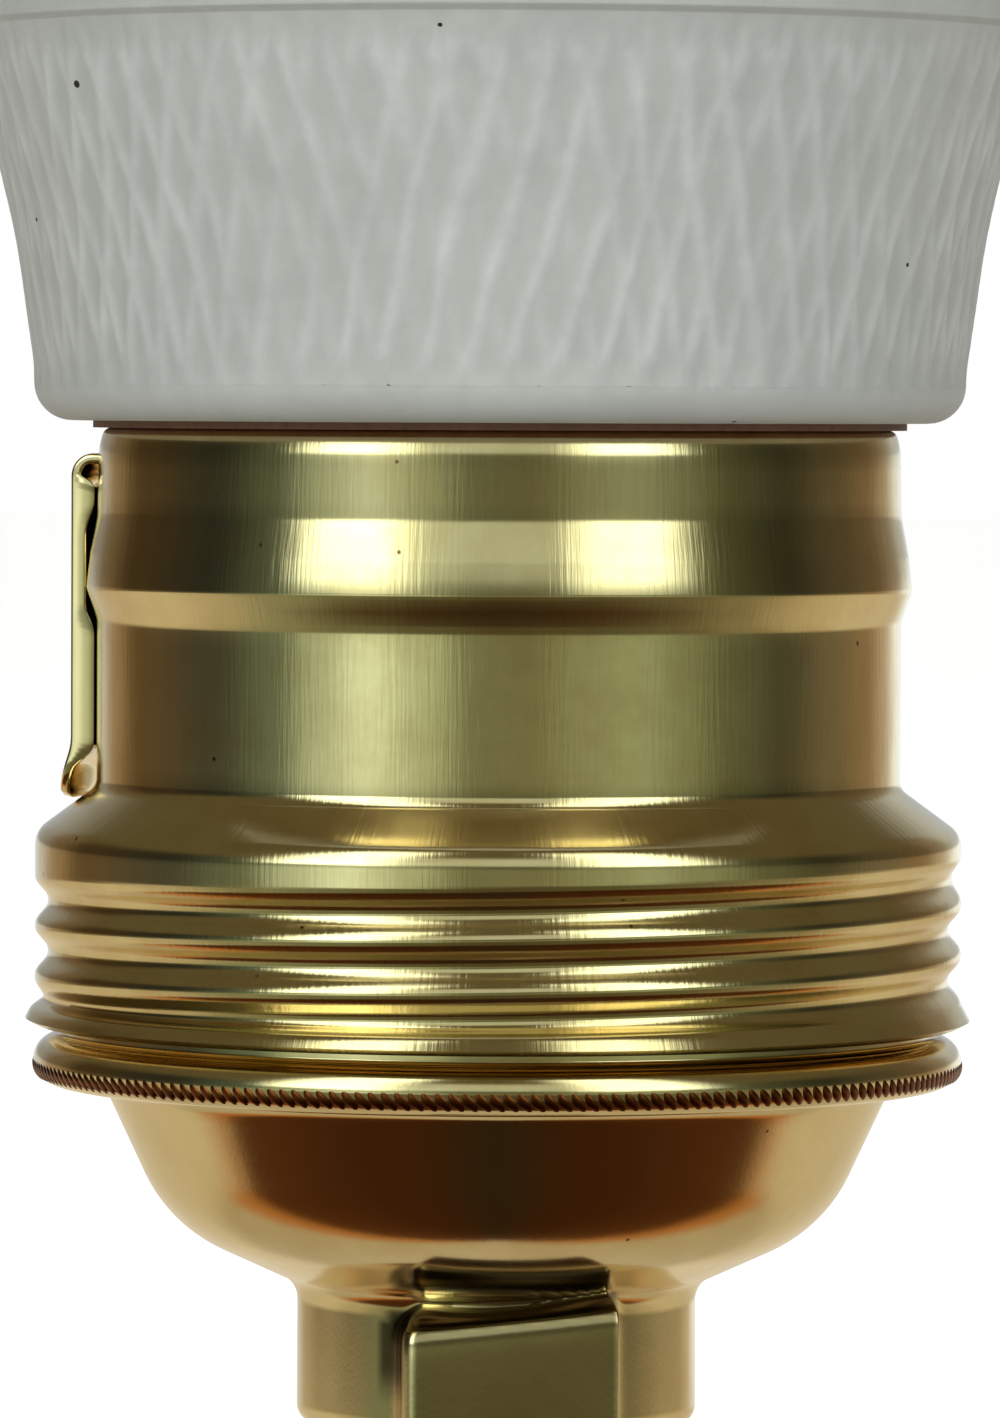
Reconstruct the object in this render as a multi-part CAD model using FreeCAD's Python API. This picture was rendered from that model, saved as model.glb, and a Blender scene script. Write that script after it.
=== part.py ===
"""Brass lamp holder for a screw lamp, mouth up, with a porcelain guard ring.

Millimetres.  The origin is the centre of the neck's bottom face and +Z runs to the mouth.
The front is -Y.  Every piece is one solid, apart from like fasteners, which share a file.
"""
import FreeCAD
import Part
import math
import os

from FreeCAD import Placement, Rotation, Vector

UP = Vector(0, 0, 1)

# --- cap: the spun brass dome with its neck, grip bead and skirt -----------------------------
cap_wall = 0.6
neck_radius = 8.45
neck_lip_radius = 6.4            # hole through the neck's turned-in bottom
neck_edge_round = 0.8
neck_top = 5.97                  # where the neck's side would meet the dome's underside
neck_fillet = 1.1
dome_corner = (13.93, 8.47)      # where the dome's two slopes would meet (radius, height)
dome_round = 6.5
bead_root = (16.45, 13.85)       # corner between the dome and the grip bead
bead_radius = 19.66
bead_bottom = 14.25
bead_top = 16.45
bead_round = 1.0
skirt_top = 24.0

# --- neck pocket and nipple bush -------------------------------------------------------------
pocket_width = 9.1
pocket_turn = 3.7                # degrees that the pocket sits round to the right of the front
pocket_proud = 0.95              # how far its face stands out from the neck
pocket_top_left = 4.6
pocket_top_right = 5.5
pocket_edge = 0.55
nipple_minor_radius = 4.46       # M10 x 1
bush_height = 8.0
bush_fit = 0.03

# --- grub screw, M3, in the neck's right flank -----------------------------------------------
grub_turn = 72.0                 # degrees round from the front
grub_height = 3.9
grub_radius = 1.5
grub_length = 3.3
grub_inset = 0.15

# --- outer shell -----------------------------------------------------------------------------
shell_wall = 0.5
shell_radius = 17.0
shell_top = 42.1
lip_width = 2.3
lip_round = 0.9
swell_top = 38.7                 # the raised band under the lip: start, crest, end
swell_crest_top = 36.7
swell_crest_bottom = 35.2
swell_end = 34.4
swell_proud = 0.45
shoulder_top = 26.95
shoulder_bottom = 25.05
thread_crest = 19.6
thread_foot = 17.95
shell_edge_radius = 20.0
shell_bottom = 17.2

# --- rolled thread between the cap and the shell ---------------------------------------------
thread_pitch = 2.14
thread_depth = 0.55
crest_width = 0.64               # land left between two turns of the groove
root_width = 0.5                 # flat at the bottom of the groove
inner_crest_width = 0.24         # the same inside the shell, between its ridges
section_back = 0.12              # how far a swept section overlaps what it joins or cuts
thread_start = -225.0            # degrees from +X where the groove begins, at the bottom
thread_turns = 2.75
groove_height_at_zero = 18.93    # height of the groove on the +X side
thread_fit = 0.10
male_ridge_height = 0.40
male_ridge_width = 0.9
male_nose_width = 0.3

# --- lock leaf, a spring strip down the shell's left side ------------------------------------
leaf_turn = 167.0                # degrees from +X, on the left and a little to the back
leaf_width = 7.0
leaf_wall = 0.45
leaf_top = 41.0
leaf_bend = 0.9
leaf_toe_start = 28.6
leaf_toe_bottom = 26.25
leaf_toe_flare = 0.75
leaf_toe_round = 2.5
slot_gap = 0.12

# --- porcelain insert ------------------------------------------------------------------------
insert_flange_fit = 0.45
insert_flange_top = 25.0
insert_chamfer_top = 26.4
insert_body_fit = 0.4
insert_ledge = 28.0
insert_top = 33.0
insert_boss_fit = 0.35
insert_bottom = 22.0
rib_thickness = 2.4
rib_depth = 3.6
rib_half_length = 12.0

# --- threaded sleeve for the lamp ------------------------------------------------------------
sleeve_air = 1.9                 # between the sleeve and the liner round it
sleeve_wall = 0.4
sleeve_top = 54.0
sleeve_floor_edge = 2.0          # from its screws' circle in to the hole in its floor
sleeve_floor_wall = 0.5
sleeve_foot_top = 38.6           # below it the sleeve is a little narrower
sleeve_foot_step = 0.2
sleeve_foot_slope = 0.3

# --- insulating liner ------------------------------------------------------------------------
liner_wall = 0.8
liner_fit = 0.10
liner_lip_fit = 0.2
liner_lip_wall = 0.7

# --- ring washer and guard ring --------------------------------------------------------------
washer_wall = 0.3
washer_overhang = 0.2            # how far it stands out past the shell
washer_width = 3.0
ring_fit = 0.08
ring_foot_radius = 19.66
ring_foot_round = 1.6
ring_foot_height = 2.0
ring_foot_sweep = 8.0            # radii of the two long, slow bends of its side
ring_flare_sweep = 30.0
ring_waist_height = 50.2
ring_waist_radius = 20.5
ring_band_bottom = 58.8          # where the plain rim starts
ring_band_radius = 22.55
ring_rim_proud = 0.35
ring_rim_step = 0.25
ring_rim_edge = 0.15
ring_rim_draft = 0.1
ring_top = 62.5
ring_rim_round = 1.2
ring_bore_top = 52.0
ring_throat_top = 55.6
ring_throat_radius = 17.9
ring_throat_round = 2.0
ring_mouth_radius = 19.7
ring_mouth_round = 0.8
ring_bore_round = 0.3

# --- contact, terminals and their screws -----------------------------------------------------
pad_gap = 1.4                    # from the hole in the sleeve's floor to the raised pad
pad_height = 1.6
pad_relief = 0.35
contact_screw_inset = 2.4        # from the pad's edge to the contact's screw
contact_width = 5.0
contact_wall = 0.4
contact_head_gap = 0.3
contact_rise = 2.6
contact_slope = 2.6              # length of its sloping run
contact_bend = 1.2
contact_reach = 6.9              # from the screw to the raised tip
head_side_gap = 0.05             # from the sleeve's wall to its screws' heads
small_screw_radius = 1.25        # M2.5
small_head_radius = 1.75
head_height = 1.3
slot_width = 0.6
slot_depth = 0.6
screw_hole_gap = 0.25
nut_side = 4.6
nut_height = 2.0
nut_gap = 0.15
block_length = 7.0
block_width = 7.0
block_height = 5.0
block_end = 2.0                  # from a block's end to its fixing screw
block_screw_spacing = 3.0
clamp_screw_radius = 1.5         # M3
clamp_head_radius = 2.4
clamp_head_height = 1.6
clamp_screw_length = 4.2
clamp_fit = 0.06
plate_side = 6.0
plate_wall = 0.8
plate_hole_gap = 0.12


def circle_point(radius, degrees, height=0.0):
    angle = math.radians(degrees)
    return Vector(radius * math.cos(angle), radius * math.sin(angle), height)


def offset_path(path, distance):
    """Moves a path of (radius, height, corner round) sideways, to its left when positive."""
    moved = []
    for i in range(len(path)):
        normals = []
        for a, b in ((i - 1, i), (i, i + 1)):
            if a < 0 or b >= len(path):
                continue
            along_r = path[b][0] - path[a][0]
            along_z = path[b][1] - path[a][1]
            length = math.hypot(along_r, along_z)
            normals.append((-along_z / length, along_r / length))
        first, last = normals[0], normals[-1]
        turn = first[0] * last[1] - first[1] * last[0]
        scale = distance / (1.0 + first[0] * last[0] + first[1] * last[1])
        shift_r = (first[0] + last[0]) * scale
        shift_z = (first[1] + last[1]) * scale
        side = 1.0 if turn > 0 else -1.0
        corner = max(path[i][2] - side * distance, 0.05) if path[i][2] else 0.0
        moved.append((path[i][0] + shift_r, path[i][1] + shift_z, corner))
    return moved


def rounded_edges(path):
    """Straight runs joined by tangent arcs, in the XZ plane."""
    points = [Vector(r, 0, z) for r, z, corner in path]
    edges = []
    at = points[0]
    for i in range(1, len(points) - 1):
        back = (points[i - 1] - points[i]).normalize()
        ahead = (points[i + 1] - points[i]).normalize()
        half = back.getAngle(ahead) / 2.0
        reach = path[i][2] / math.tan(half) if path[i][2] else 0.0
        if reach < 1e-6:
            edges.append(Part.LineSegment(at, points[i]).toShape())
            at = points[i]
            continue
        start = points[i] + back * reach
        end = points[i] + ahead * reach
        middle = (back + ahead).normalize()
        centre_away = path[i][2] / math.sin(half)
        crown = points[i] + middle * (centre_away - path[i][2])
        if (start - at).Length > 1e-6:
            edges.append(Part.LineSegment(at, start).toShape())
        edges.append(Part.Arc(start, crown, end).toShape())
        at = end
    edges.append(Part.LineSegment(at, points[-1]).toShape())
    return edges


def revolve(path):
    """A turned solid from a closed path of (radius, height, corner round)."""
    edges = rounded_edges(path + [path[0]])
    face = Part.Face(Part.Wire(edges))
    return face.revolve(Vector(0, 0, 0), UP, 360)


def spun_sheet(path, wall):
    """A spun sheet-metal solid: the path is its outer face and the wall lies to its left."""
    inner = offset_path(path, wall)
    outer_edges = rounded_edges(path)
    inner_edges = rounded_edges(inner)
    ends = []
    for a, b in ((path[0], inner[0]), (path[-1], inner[-1])):
        ends.append(Part.LineSegment(Vector(a[0], 0, a[1]), Vector(b[0], 0, b[1])).toShape())
    face = Part.Face(Part.Wire(Part.__sortEdges__(outer_edges + inner_edges + ends)))
    return face.revolve(Vector(0, 0, 0), UP, 360)


def cylinder(radius, bottom, top, x=0.0, y=0.0):
    return Part.makeCylinder(radius, top - bottom, Vector(x, y, bottom))


def box(x_low, x_high, y_low, y_high, z_low, z_high):
    return Part.makeBox(x_high - x_low, y_high - y_low, z_high - z_low,
                        Vector(x_low, y_low, z_low))


def turned_about_z(shape, degrees):
    turned = shape.copy()
    turned.rotate(Vector(0, 0, 0), UP, degrees)
    return turned


def helical_bar(section, start_turn, turns, height_at_zero):
    """Sweeps a closed section, drawn about height 0 on the +X side, along the thread."""
    helix = Part.makeHelix(thread_pitch, turns * thread_pitch, thread_crest)
    bar = Part.Wire(helix.Edges).makePipeShell([section], True, True)
    bar = turned_about_z(bar, start_turn)
    bar.translate(Vector(0, 0, height_at_zero + thread_pitch * start_turn / 360.0))
    return bar


def thread_section(nose, nose_width, mouth, mouth_width):
    """A thread section with sloping flanks that run on a little past its mouth radius."""
    inwards = 1.0 if mouth > nose else -1.0
    slope = (mouth_width - nose_width) / 2.0 / abs(mouth - nose)
    half_nose = nose_width / 2.0
    half_back = mouth_width / 2.0 + slope * section_back
    back = mouth + inwards * section_back
    return Part.makePolygon([Vector(nose, 0, -half_nose), Vector(nose, 0, half_nose),
                             Vector(back, 0, half_back), Vector(back, 0, -half_back),
                             Vector(nose, 0, -half_nose)])


def slotted_head(radius, bottom, height, x, y, upwards=True):
    """A cheese head with a screwdriver slot on its outer face."""
    head = cylinder(radius, bottom, bottom + height, x, y)
    slot_low = bottom + height - slot_depth if upwards else bottom
    cutter = box(x - radius - 1, x + radius + 1, y - slot_width / 2, y + slot_width / 2,
                 slot_low, slot_low + slot_depth)
    return head.cut(cutter)


# derived places, worked out once
thread_root = thread_crest - thread_depth
shell_thread_bore = thread_root - shell_wall
skirt_radius = shell_thread_bore - thread_fit
skirt_bore = skirt_radius - cap_wall
neck_bore = neck_radius - cap_wall
shell_bore = shell_radius - shell_wall
lip_radius = shell_radius - lip_width
washer_outer_radius = shell_radius + washer_overhang
washer_inner_radius = washer_outer_radius - washer_width
insert_radius = shell_bore - insert_body_fit
insert_flange_radius = shell_thread_bore - insert_flange_fit
liner_lip_radius = lip_radius + liner_lip_fit
ring_bottom = shell_top + washer_wall
liner_radius = shell_bore - liner_fit
liner_bore = liner_radius - liner_wall
sleeve_radius = liner_bore - sleeve_air
sleeve_bore_radius = sleeve_radius - sleeve_wall
sleeve_foot_bore = sleeve_bore_radius - sleeve_foot_step
sleeve_screw_circle = sleeve_foot_bore - head_side_gap - small_head_radius
sleeve_floor_radius = sleeve_screw_circle - sleeve_floor_edge
pad_radius = sleeve_floor_radius - pad_gap
contact_screw_x = pad_radius - contact_screw_inset
block_bottom = insert_bottom - block_height
pad_top = insert_top + pad_height
sleeve_floor_top = insert_top + sleeve_floor_wall


def cap_outline():
    return [(neck_lip_radius, 0.0, 0),
            (neck_radius, 0.0, neck_edge_round),
            (neck_radius, neck_top, neck_fillet),
            (dome_corner[0], dome_corner[1], dome_round),
            (bead_root[0], bead_root[1], 0.4),
            (bead_radius, bead_bottom, bead_round),
            (bead_radius, bead_top, bead_round),
            (skirt_radius, bead_top, 0.25),
            (skirt_radius, skirt_top, 0)]


def pocket_block(grow):
    """The pocket's block, grow > 0 for its outer skin and 0 for the hollow inside it."""
    half = pocket_width / 2.0 - cap_wall + grow
    front = -(neck_radius + pocket_proud - cap_wall + grow)
    left = pocket_top_left - cap_wall + grow
    right = pocket_top_right - cap_wall + grow
    foot = cap_wall - grow
    back = -neck_lip_radius * 0.6
    face = Part.Face(Part.makePolygon([
        Vector(-half, front, foot), Vector(half, front, foot),
        Vector(half, front, right), Vector(-half, front, left), Vector(-half, front, foot)]))
    block = face.extrude(Vector(0, back - front, 0))
    uprights = []
    for edge in block.Edges:
        middle = edge.CenterOfMass
        if abs(middle.y - front) < 1e-6 and middle.z > foot + 1e-6:
            uprights.append(edge)
    return block.makeFillet(max(pocket_edge - cap_wall + grow, 0.1), uprights)


def cap():
    body = spun_sheet(cap_outline(), cap_wall)
    skin = turned_about_z(pocket_block(cap_wall), pocket_turn)
    hollow = turned_about_z(pocket_block(0.0), pocket_turn)
    inside = cylinder(neck_bore, cap_wall, neck_top + cap_wall)
    body = body.fuse(skin.cut(inside)).cut(hollow.fuse(inside))
    body = body.cut(cylinder(neck_lip_radius, -1, cap_wall + 0.01))
    body = body.cut(grub_bore(grub_radius + screw_hole_gap))
    male = thread_section(skirt_radius + male_ridge_height, male_nose_width,
                          skirt_radius, male_ridge_width)
    height = groove_height_at_zero + thread_pitch / 2
    ridge = helical_bar(male, thread_start + 90.0, thread_turns - 0.75, height)
    return body.fuse(ridge)


def grub_bore(radius):
    direction = circle_point(1.0, grub_turn - 90.0)
    return Part.makeCylinder(radius, neck_radius + 2.0, Vector(0, 0, grub_height), direction)


def nipple_bush():
    radius = neck_bore - bush_fit
    top = cap_wall + bush_height
    body = cylinder(radius, cap_wall, top)
    half = pocket_width / 2.0 - cap_wall - bush_fit
    front = -(neck_radius + pocket_proud - cap_wall - bush_fit)
    lug_top = min(pocket_top_left, pocket_top_right) - cap_wall - bush_fit
    lug = box(-half, half, front, 0, cap_wall, lug_top)
    uprights = [edge for edge in lug.Edges
                if abs(edge.CenterOfMass.y - front) < 1e-6 and edge.Length > lug_top * 0.5
                and abs(edge.CenterOfMass.x) > half * 0.9]
    lug = turned_about_z(lug.makeFillet(0.3, uprights), pocket_turn)
    dome_clear = Part.makeCone(radius, radius - 0.8, 0.8, Vector(0, 0, top - 0.8))
    body = cylinder(radius, cap_wall, top - 0.8).fuse(dome_clear).fuse(lug)
    body = body.cut(cylinder(nipple_minor_radius, cap_wall - 1, top + 1))
    return body.cut(grub_bore(grub_radius + clamp_fit))


def grub_screw():
    direction = circle_point(1.0, grub_turn - 90.0)
    outer = neck_radius - grub_inset
    start = direction * (outer - grub_length) + Vector(0, 0, grub_height)
    body = Part.makeCylinder(grub_radius, grub_length, start, direction)
    slot = box(outer - slot_depth, outer + 1, -slot_width / 2, slot_width / 2,
               grub_height - grub_radius - 1, grub_height + grub_radius + 1)
    return body.cut(turned_about_z(slot, grub_turn - 90.0))


def shell_outline():
    swell = shell_radius + swell_proud
    return [(shell_edge_radius, shell_bottom, 0),
            (thread_crest, thread_foot, 0.3),
            (thread_crest, shoulder_bottom, 1.1),
            (shell_radius, shoulder_top, 0.7),
            (shell_radius, swell_end, 0.4),
            (swell, swell_crest_bottom, 0.5),
            (swell, swell_crest_top, 1.2),
            (shell_radius, swell_top, 1.2),
            (shell_radius, shell_top, lip_round),
            (lip_radius, shell_top, 0)]


def outer_shell():
    body = spun_sheet(shell_outline(), shell_wall)
    flank_run = (thread_pitch - crest_width - root_width) / 2.0
    inner_mouth = thread_pitch - inner_crest_width
    ridge = thread_section(shell_thread_bore, inner_mouth - 2.0 * flank_run,
                           thread_crest - shell_wall, inner_mouth)
    groove = thread_section(thread_root, root_width, thread_crest, thread_pitch - crest_width)
    for_groove = helical_bar(groove, thread_start, thread_turns, groove_height_at_zero)
    for_ridge = helical_bar(ridge, thread_start, thread_turns, groove_height_at_zero)
    body = body.fuse(for_ridge).cut(for_groove)
    slot_bottom = leaf_top - leaf_wall - slot_gap
    half = leaf_width / 2.0 + slot_gap
    slot = box(shell_bore - 1, shell_radius + 1, -half, half, slot_bottom, leaf_top + slot_gap)
    return body.cut(turned_about_z(slot, leaf_turn))


def lock_leaf():
    """A strip bent out of its slot, down over the raised band and out to a finger toe."""
    outer = shell_radius + swell_proud + 0.05 + leaf_wall
    path = [(shell_bore + 0.02, leaf_top, 0),
            (outer, leaf_top, leaf_bend),
            (outer, leaf_toe_start, leaf_toe_round),
            (outer + leaf_toe_flare, leaf_toe_bottom, 0)]
    inner = offset_path(path, -leaf_wall)
    ends = []
    for a, b in ((path[0], inner[0]), (path[-1], inner[-1])):
        ends.append(Part.LineSegment(Vector(a[0], 0, a[1]), Vector(b[0], 0, b[1])).toShape())
    edges = Part.__sortEdges__(rounded_edges(path) + rounded_edges(inner) + ends)
    strip = Part.Face(Part.Wire(edges)).extrude(Vector(0, leaf_width, 0))
    strip.translate(Vector(0, -leaf_width / 2, 0))
    return turned_about_z(strip, leaf_turn)


def screw_places():
    """The two short sleeve screws, left and right of the centre terminal."""
    return [circle_point(sleeve_screw_circle, degrees) for degrees in (60.0, 300.0)]


def insert_base():
    boss_radius = skirt_bore - insert_boss_fit
    upper_radius = liner_bore - liner_fit
    body = revolve([(0, insert_bottom, 0),
                    (boss_radius, insert_bottom, 0.5),
                    (boss_radius, skirt_top, 0),
                    (insert_flange_radius, skirt_top, 0.2),
                    (insert_flange_radius, insert_flange_top, 0.2),
                    (insert_radius, insert_chamfer_top, 0.2),
                    (insert_radius, insert_ledge, 0),
                    (upper_radius, insert_ledge, 0),
                    (upper_radius, insert_top, 0.5),
                    (pad_radius, insert_top, 0),
                    (pad_radius, pad_top, 0.5),
                    (0, pad_top, 0)])
    rib = box(-rib_thickness / 2, rib_thickness / 2, -rib_half_length, rib_half_length,
              insert_bottom - rib_depth, insert_bottom)
    body = body.fuse(rib)
    relief = box(-pad_radius, contact_screw_x, -contact_width / 2 - 0.3,
                 contact_width / 2 + 0.3, pad_top - pad_relief, pad_top + 1)
    body = body.cut(relief)
    hole = small_screw_radius + screw_hole_gap
    holes = [cylinder(hole, insert_bottom - 1, pad_top + 1, contact_screw_x, 0),
             cylinder(hole, insert_bottom - 1, insert_top + 1, -sleeve_screw_circle, 0)]
    half = nut_side / 2.0 + nut_gap
    for place in screw_places():
        holes.append(cylinder(hole, insert_bottom - 1, insert_top + 1, place.x, place.y))
        holes.append(box(place.x - half, place.x + half, place.y - half, place.y + half,
                         insert_bottom - 1, insert_bottom + nut_height))
    for cutter in holes:
        body = body.cut(cutter)
    return body


def sleeve_nuts():
    half = nut_side / 2.0
    nuts = []
    for place in screw_places():
        nut = box(place.x - half, place.x + half, place.y - half, place.y + half,
                  insert_bottom, insert_bottom + nut_height)
        nuts.append(nut.cut(cylinder(small_screw_radius + clamp_fit, 0, insert_top,
                                     place.x, place.y)))
    return Part.makeCompound(nuts)


def sleeve_screws():
    screws = []
    for place in screw_places():
        shank = cylinder(small_screw_radius, insert_bottom + 0.2, sleeve_floor_top,
                         place.x, place.y)
        head = slotted_head(small_head_radius, sleeve_floor_top, head_height, place.x, place.y)
        screws.append(shank.fuse(head))
    return Part.makeCompound(screws)


def long_screw(x, head_bottom):
    shank = cylinder(small_screw_radius, block_bottom + 1.2, head_bottom, x, 0)
    return shank.fuse(slotted_head(small_head_radius, head_bottom, head_height, x, 0))


def shell_contact_screw():
    return long_screw(-sleeve_screw_circle, sleeve_floor_top)


def centre_contact_screw():
    return long_screw(contact_screw_x, pad_top + contact_wall + contact_head_gap)


def threaded_sleeve():
    slope_top = sleeve_foot_top + sleeve_foot_slope
    foot_radius = sleeve_radius - sleeve_foot_step
    body = revolve([(sleeve_floor_radius, insert_top, 0),
                    (foot_radius, insert_top, 0.6),
                    (foot_radius, sleeve_foot_top, 0),
                    (sleeve_radius, slope_top, 0),
                    (sleeve_radius, sleeve_top, 0),
                    (sleeve_bore_radius, sleeve_top, 0),
                    (sleeve_bore_radius, slope_top, 0),
                    (sleeve_foot_bore, sleeve_foot_top, 0),
                    (sleeve_foot_bore, sleeve_floor_top, 0.2),
                    (sleeve_floor_radius, sleeve_floor_top, 0)])
    hole = small_screw_radius + clamp_fit
    for place in screw_places() + [Vector(-sleeve_screw_circle, 0, 0)]:
        body = body.cut(cylinder(hole, insert_top - 1, sleeve_floor_top + 1, place.x, place.y))
    return body


def centre_contact():
    """A leaf held at its foot, bent up and over to the raised tip in the middle."""
    foot_end = contact_screw_x + small_head_radius
    tip_x = contact_screw_x - contact_reach
    rise_start = contact_screw_x - small_head_radius - 0.4
    path = [(foot_end, pad_top, 0),
            (rise_start, pad_top, 0.8),
            (rise_start - contact_slope, pad_top + contact_rise, contact_bend),
            (tip_x, pad_top + contact_rise, 1.0),
            (tip_x - 0.9, pad_top + contact_rise - 1.1, 0)]
    upper = offset_path(path, -contact_wall)
    ends = []
    for a, b in ((path[0], upper[0]), (path[-1], upper[-1])):
        ends.append(Part.LineSegment(Vector(a[0], 0, a[1]), Vector(b[0], 0, b[1])).toShape())
    edges = Part.__sortEdges__(rounded_edges(path) + rounded_edges(upper) + ends)
    strip = Part.Face(Part.Wire(edges)).extrude(Vector(0, contact_width, 0))
    strip.translate(Vector(0, -contact_width / 2, 0))
    return strip.cut(cylinder(small_screw_radius + screw_hole_gap, insert_top, sleeve_top,
                              contact_screw_x, 0))


def terminal_block(fixing_x, inward):
    """A brass block under the insert; inward is +1 when its clamp lies towards +X."""
    near = fixing_x - inward * block_end
    far = near + inward * block_length
    clamp_x = fixing_x + inward * block_screw_spacing
    block = box(min(near, far), max(near, far), -block_width / 2, block_width / 2,
                block_bottom, insert_bottom)
    block = block.makeChamfer(0.3, [edge for edge in block.Edges
                                    if abs(edge.CenterOfMass.z - block_bottom) < 1e-6])
    fixing = cylinder(small_screw_radius + clamp_fit, block_bottom + 1.0, insert_bottom + 1,
                      fixing_x, 0)
    clamp = cylinder(clamp_screw_radius + clamp_fit, block_bottom - 1, insert_bottom + 1,
                     clamp_x, 0)
    return block.cut(fixing).cut(clamp)


def clamp_plate(clamp_x):
    half = plate_side / 2.0
    plate = box(clamp_x - half, clamp_x + half, -half, half,
                block_bottom - plate_wall, block_bottom)
    hole = cylinder(clamp_screw_radius + plate_hole_gap, block_bottom - 2 * plate_wall,
                    block_bottom + 1, clamp_x, 0)
    return plate.cut(hole)


def clamp_screw(clamp_x):
    head_top = block_bottom - plate_wall
    shank = cylinder(clamp_screw_radius, head_top, head_top + plate_wall + clamp_screw_length,
                     clamp_x, 0)
    head = slotted_head(clamp_head_radius, head_top - clamp_head_height, clamp_head_height,
                        clamp_x, 0, upwards=False)
    return shank.fuse(head)


def insulating_liner():
    return revolve([(liner_bore, insert_ledge, 0),
                    (liner_radius, insert_ledge, 0),
                    (liner_radius, shell_top - shell_wall, lip_round - shell_wall),
                    (liner_lip_radius, shell_top - shell_wall, 0),
                    (liner_lip_radius, shell_top - shell_wall - liner_lip_wall, 0),
                    (liner_bore, shell_top - shell_wall - liner_lip_wall, 0)])


def ring_washer():
    return revolve([(washer_inner_radius, shell_top, 0),
                    (washer_outer_radius, shell_top, 0),
                    (washer_outer_radius, ring_bottom, 0),
                    (washer_inner_radius, ring_bottom, 0)])


def guard_ring():
    rim_radius = ring_band_radius + ring_rim_proud
    bore = sleeve_radius + ring_fit
    outer = [(ring_foot_radius, ring_bottom, ring_foot_round),
             (ring_foot_radius + 0.02, ring_bottom + ring_foot_height, ring_foot_sweep),
             (ring_waist_radius, ring_waist_height, ring_flare_sweep),
             (ring_band_radius, ring_band_bottom, ring_rim_edge),
             (rim_radius, ring_band_bottom + ring_rim_step, ring_rim_edge),
             (rim_radius + ring_rim_draft, ring_top, ring_rim_round)]
    inner = [(ring_mouth_radius, ring_top, ring_mouth_round),
             (ring_throat_radius, ring_throat_top, ring_throat_round),
             (bore, ring_bore_top, ring_bore_round),
             (bore, ring_bottom, 0)]
    return revolve([inner[-1]] + outer + inner[:-1])


def export(name, shape):
    shape.exportStep("parts/" + name + ".step")
    print(name, "valid" if shape.isValid() else "INVALID", len(shape.Solids),
          round(shape.Volume, 2))


def main():
    os.makedirs("parts", exist_ok=True)
    centre_clamp_x = contact_screw_x + block_screw_spacing
    shell_clamp_x = -sleeve_screw_circle + block_screw_spacing
    pieces = {"cap": cap(),
              "nipple_bush": nipple_bush(),
              "grub_screw": grub_screw(),
              "outer_shell": outer_shell(),
              "lock_leaf": lock_leaf(),
              "insert_base": insert_base(),
              "threaded_sleeve": threaded_sleeve(),
              "sleeve_screws": sleeve_screws(),
              "sleeve_nuts": sleeve_nuts(),
              "shell_contact_screw": shell_contact_screw(),
              "centre_contact_screw": centre_contact_screw(),
              "centre_contact": centre_contact(),
              "centre_terminal": terminal_block(contact_screw_x, 1),
              "shell_terminal": terminal_block(-sleeve_screw_circle, 1),
              "centre_clamp_plate": clamp_plate(centre_clamp_x),
              "shell_clamp_plate": clamp_plate(shell_clamp_x),
              "centre_clamp_screw": clamp_screw(centre_clamp_x),
              "shell_clamp_screw": clamp_screw(shell_clamp_x),
              "insulating_liner": insulating_liner(),
              "ring_washer": ring_washer(),
              "guard_ring": guard_ring()}
    for name, shape in pieces.items():
        export(name, shape)


main()
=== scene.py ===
"""Brass lamp holder with a porcelain guard ring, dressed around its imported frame.

Metres in Blender's frame; every size written here is in millimetres times MM.
"""

import math

import bpy
import numpy as np
from mathutils import Matrix, Vector


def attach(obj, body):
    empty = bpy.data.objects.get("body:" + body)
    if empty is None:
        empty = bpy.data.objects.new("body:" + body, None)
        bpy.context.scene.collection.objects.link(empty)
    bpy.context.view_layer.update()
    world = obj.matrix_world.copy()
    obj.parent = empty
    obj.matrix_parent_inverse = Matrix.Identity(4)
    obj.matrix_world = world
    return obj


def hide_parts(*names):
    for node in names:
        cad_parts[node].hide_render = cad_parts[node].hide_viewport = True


bl_info = {
    "name": "Lamp Holder",
    "version": (1, 0, 0),
    "blender": (4, 5, 0),
    "location": "View3D > Sidebar > Lamp Holder",
    "description": "Makes a brass lamp holder with a porcelain guard ring around its frame",
    "category": "Object",
}

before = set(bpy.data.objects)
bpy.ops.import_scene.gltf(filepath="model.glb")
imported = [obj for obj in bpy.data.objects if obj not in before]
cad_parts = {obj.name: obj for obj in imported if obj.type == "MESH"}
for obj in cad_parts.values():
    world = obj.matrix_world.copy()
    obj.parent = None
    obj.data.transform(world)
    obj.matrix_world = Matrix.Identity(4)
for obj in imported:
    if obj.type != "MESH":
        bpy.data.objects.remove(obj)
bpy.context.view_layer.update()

MM = 0.001
FULL_TURN = 2.0 * math.pi


def linear(code):
    """The linear colour of an sRGB hex code."""
    parts = [int(code[i:i + 2], 16) / 255 for i in (1, 3, 5)]
    return [c / 12.92 if c <= 0.04045 else ((c + 0.055) / 1.055) ** 2.4 for c in parts]


def opaque(colour):
    return (*colour[:3], 1.0)


def add(tree, kind, inputs=(), **settings):
    """Adds a node, sets it up, fills or links its inputs, and returns its first output.

    inputs is a tuple in socket order, with None to leave one alone, or a dict by name.
    """
    node = tree.nodes.new(kind)
    for name, value in settings.items():
        setattr(node, name, value)
    pairs = inputs.items() if isinstance(inputs, dict) else enumerate(inputs)
    for key, value in pairs:
        if value is None:
            continue
        if isinstance(value, bpy.types.NodeSocket):
            tree.links.new(value, node.inputs[key])
        else:
            node.inputs[key].default_value = value
    return node.outputs[0] if node.outputs else None


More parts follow.
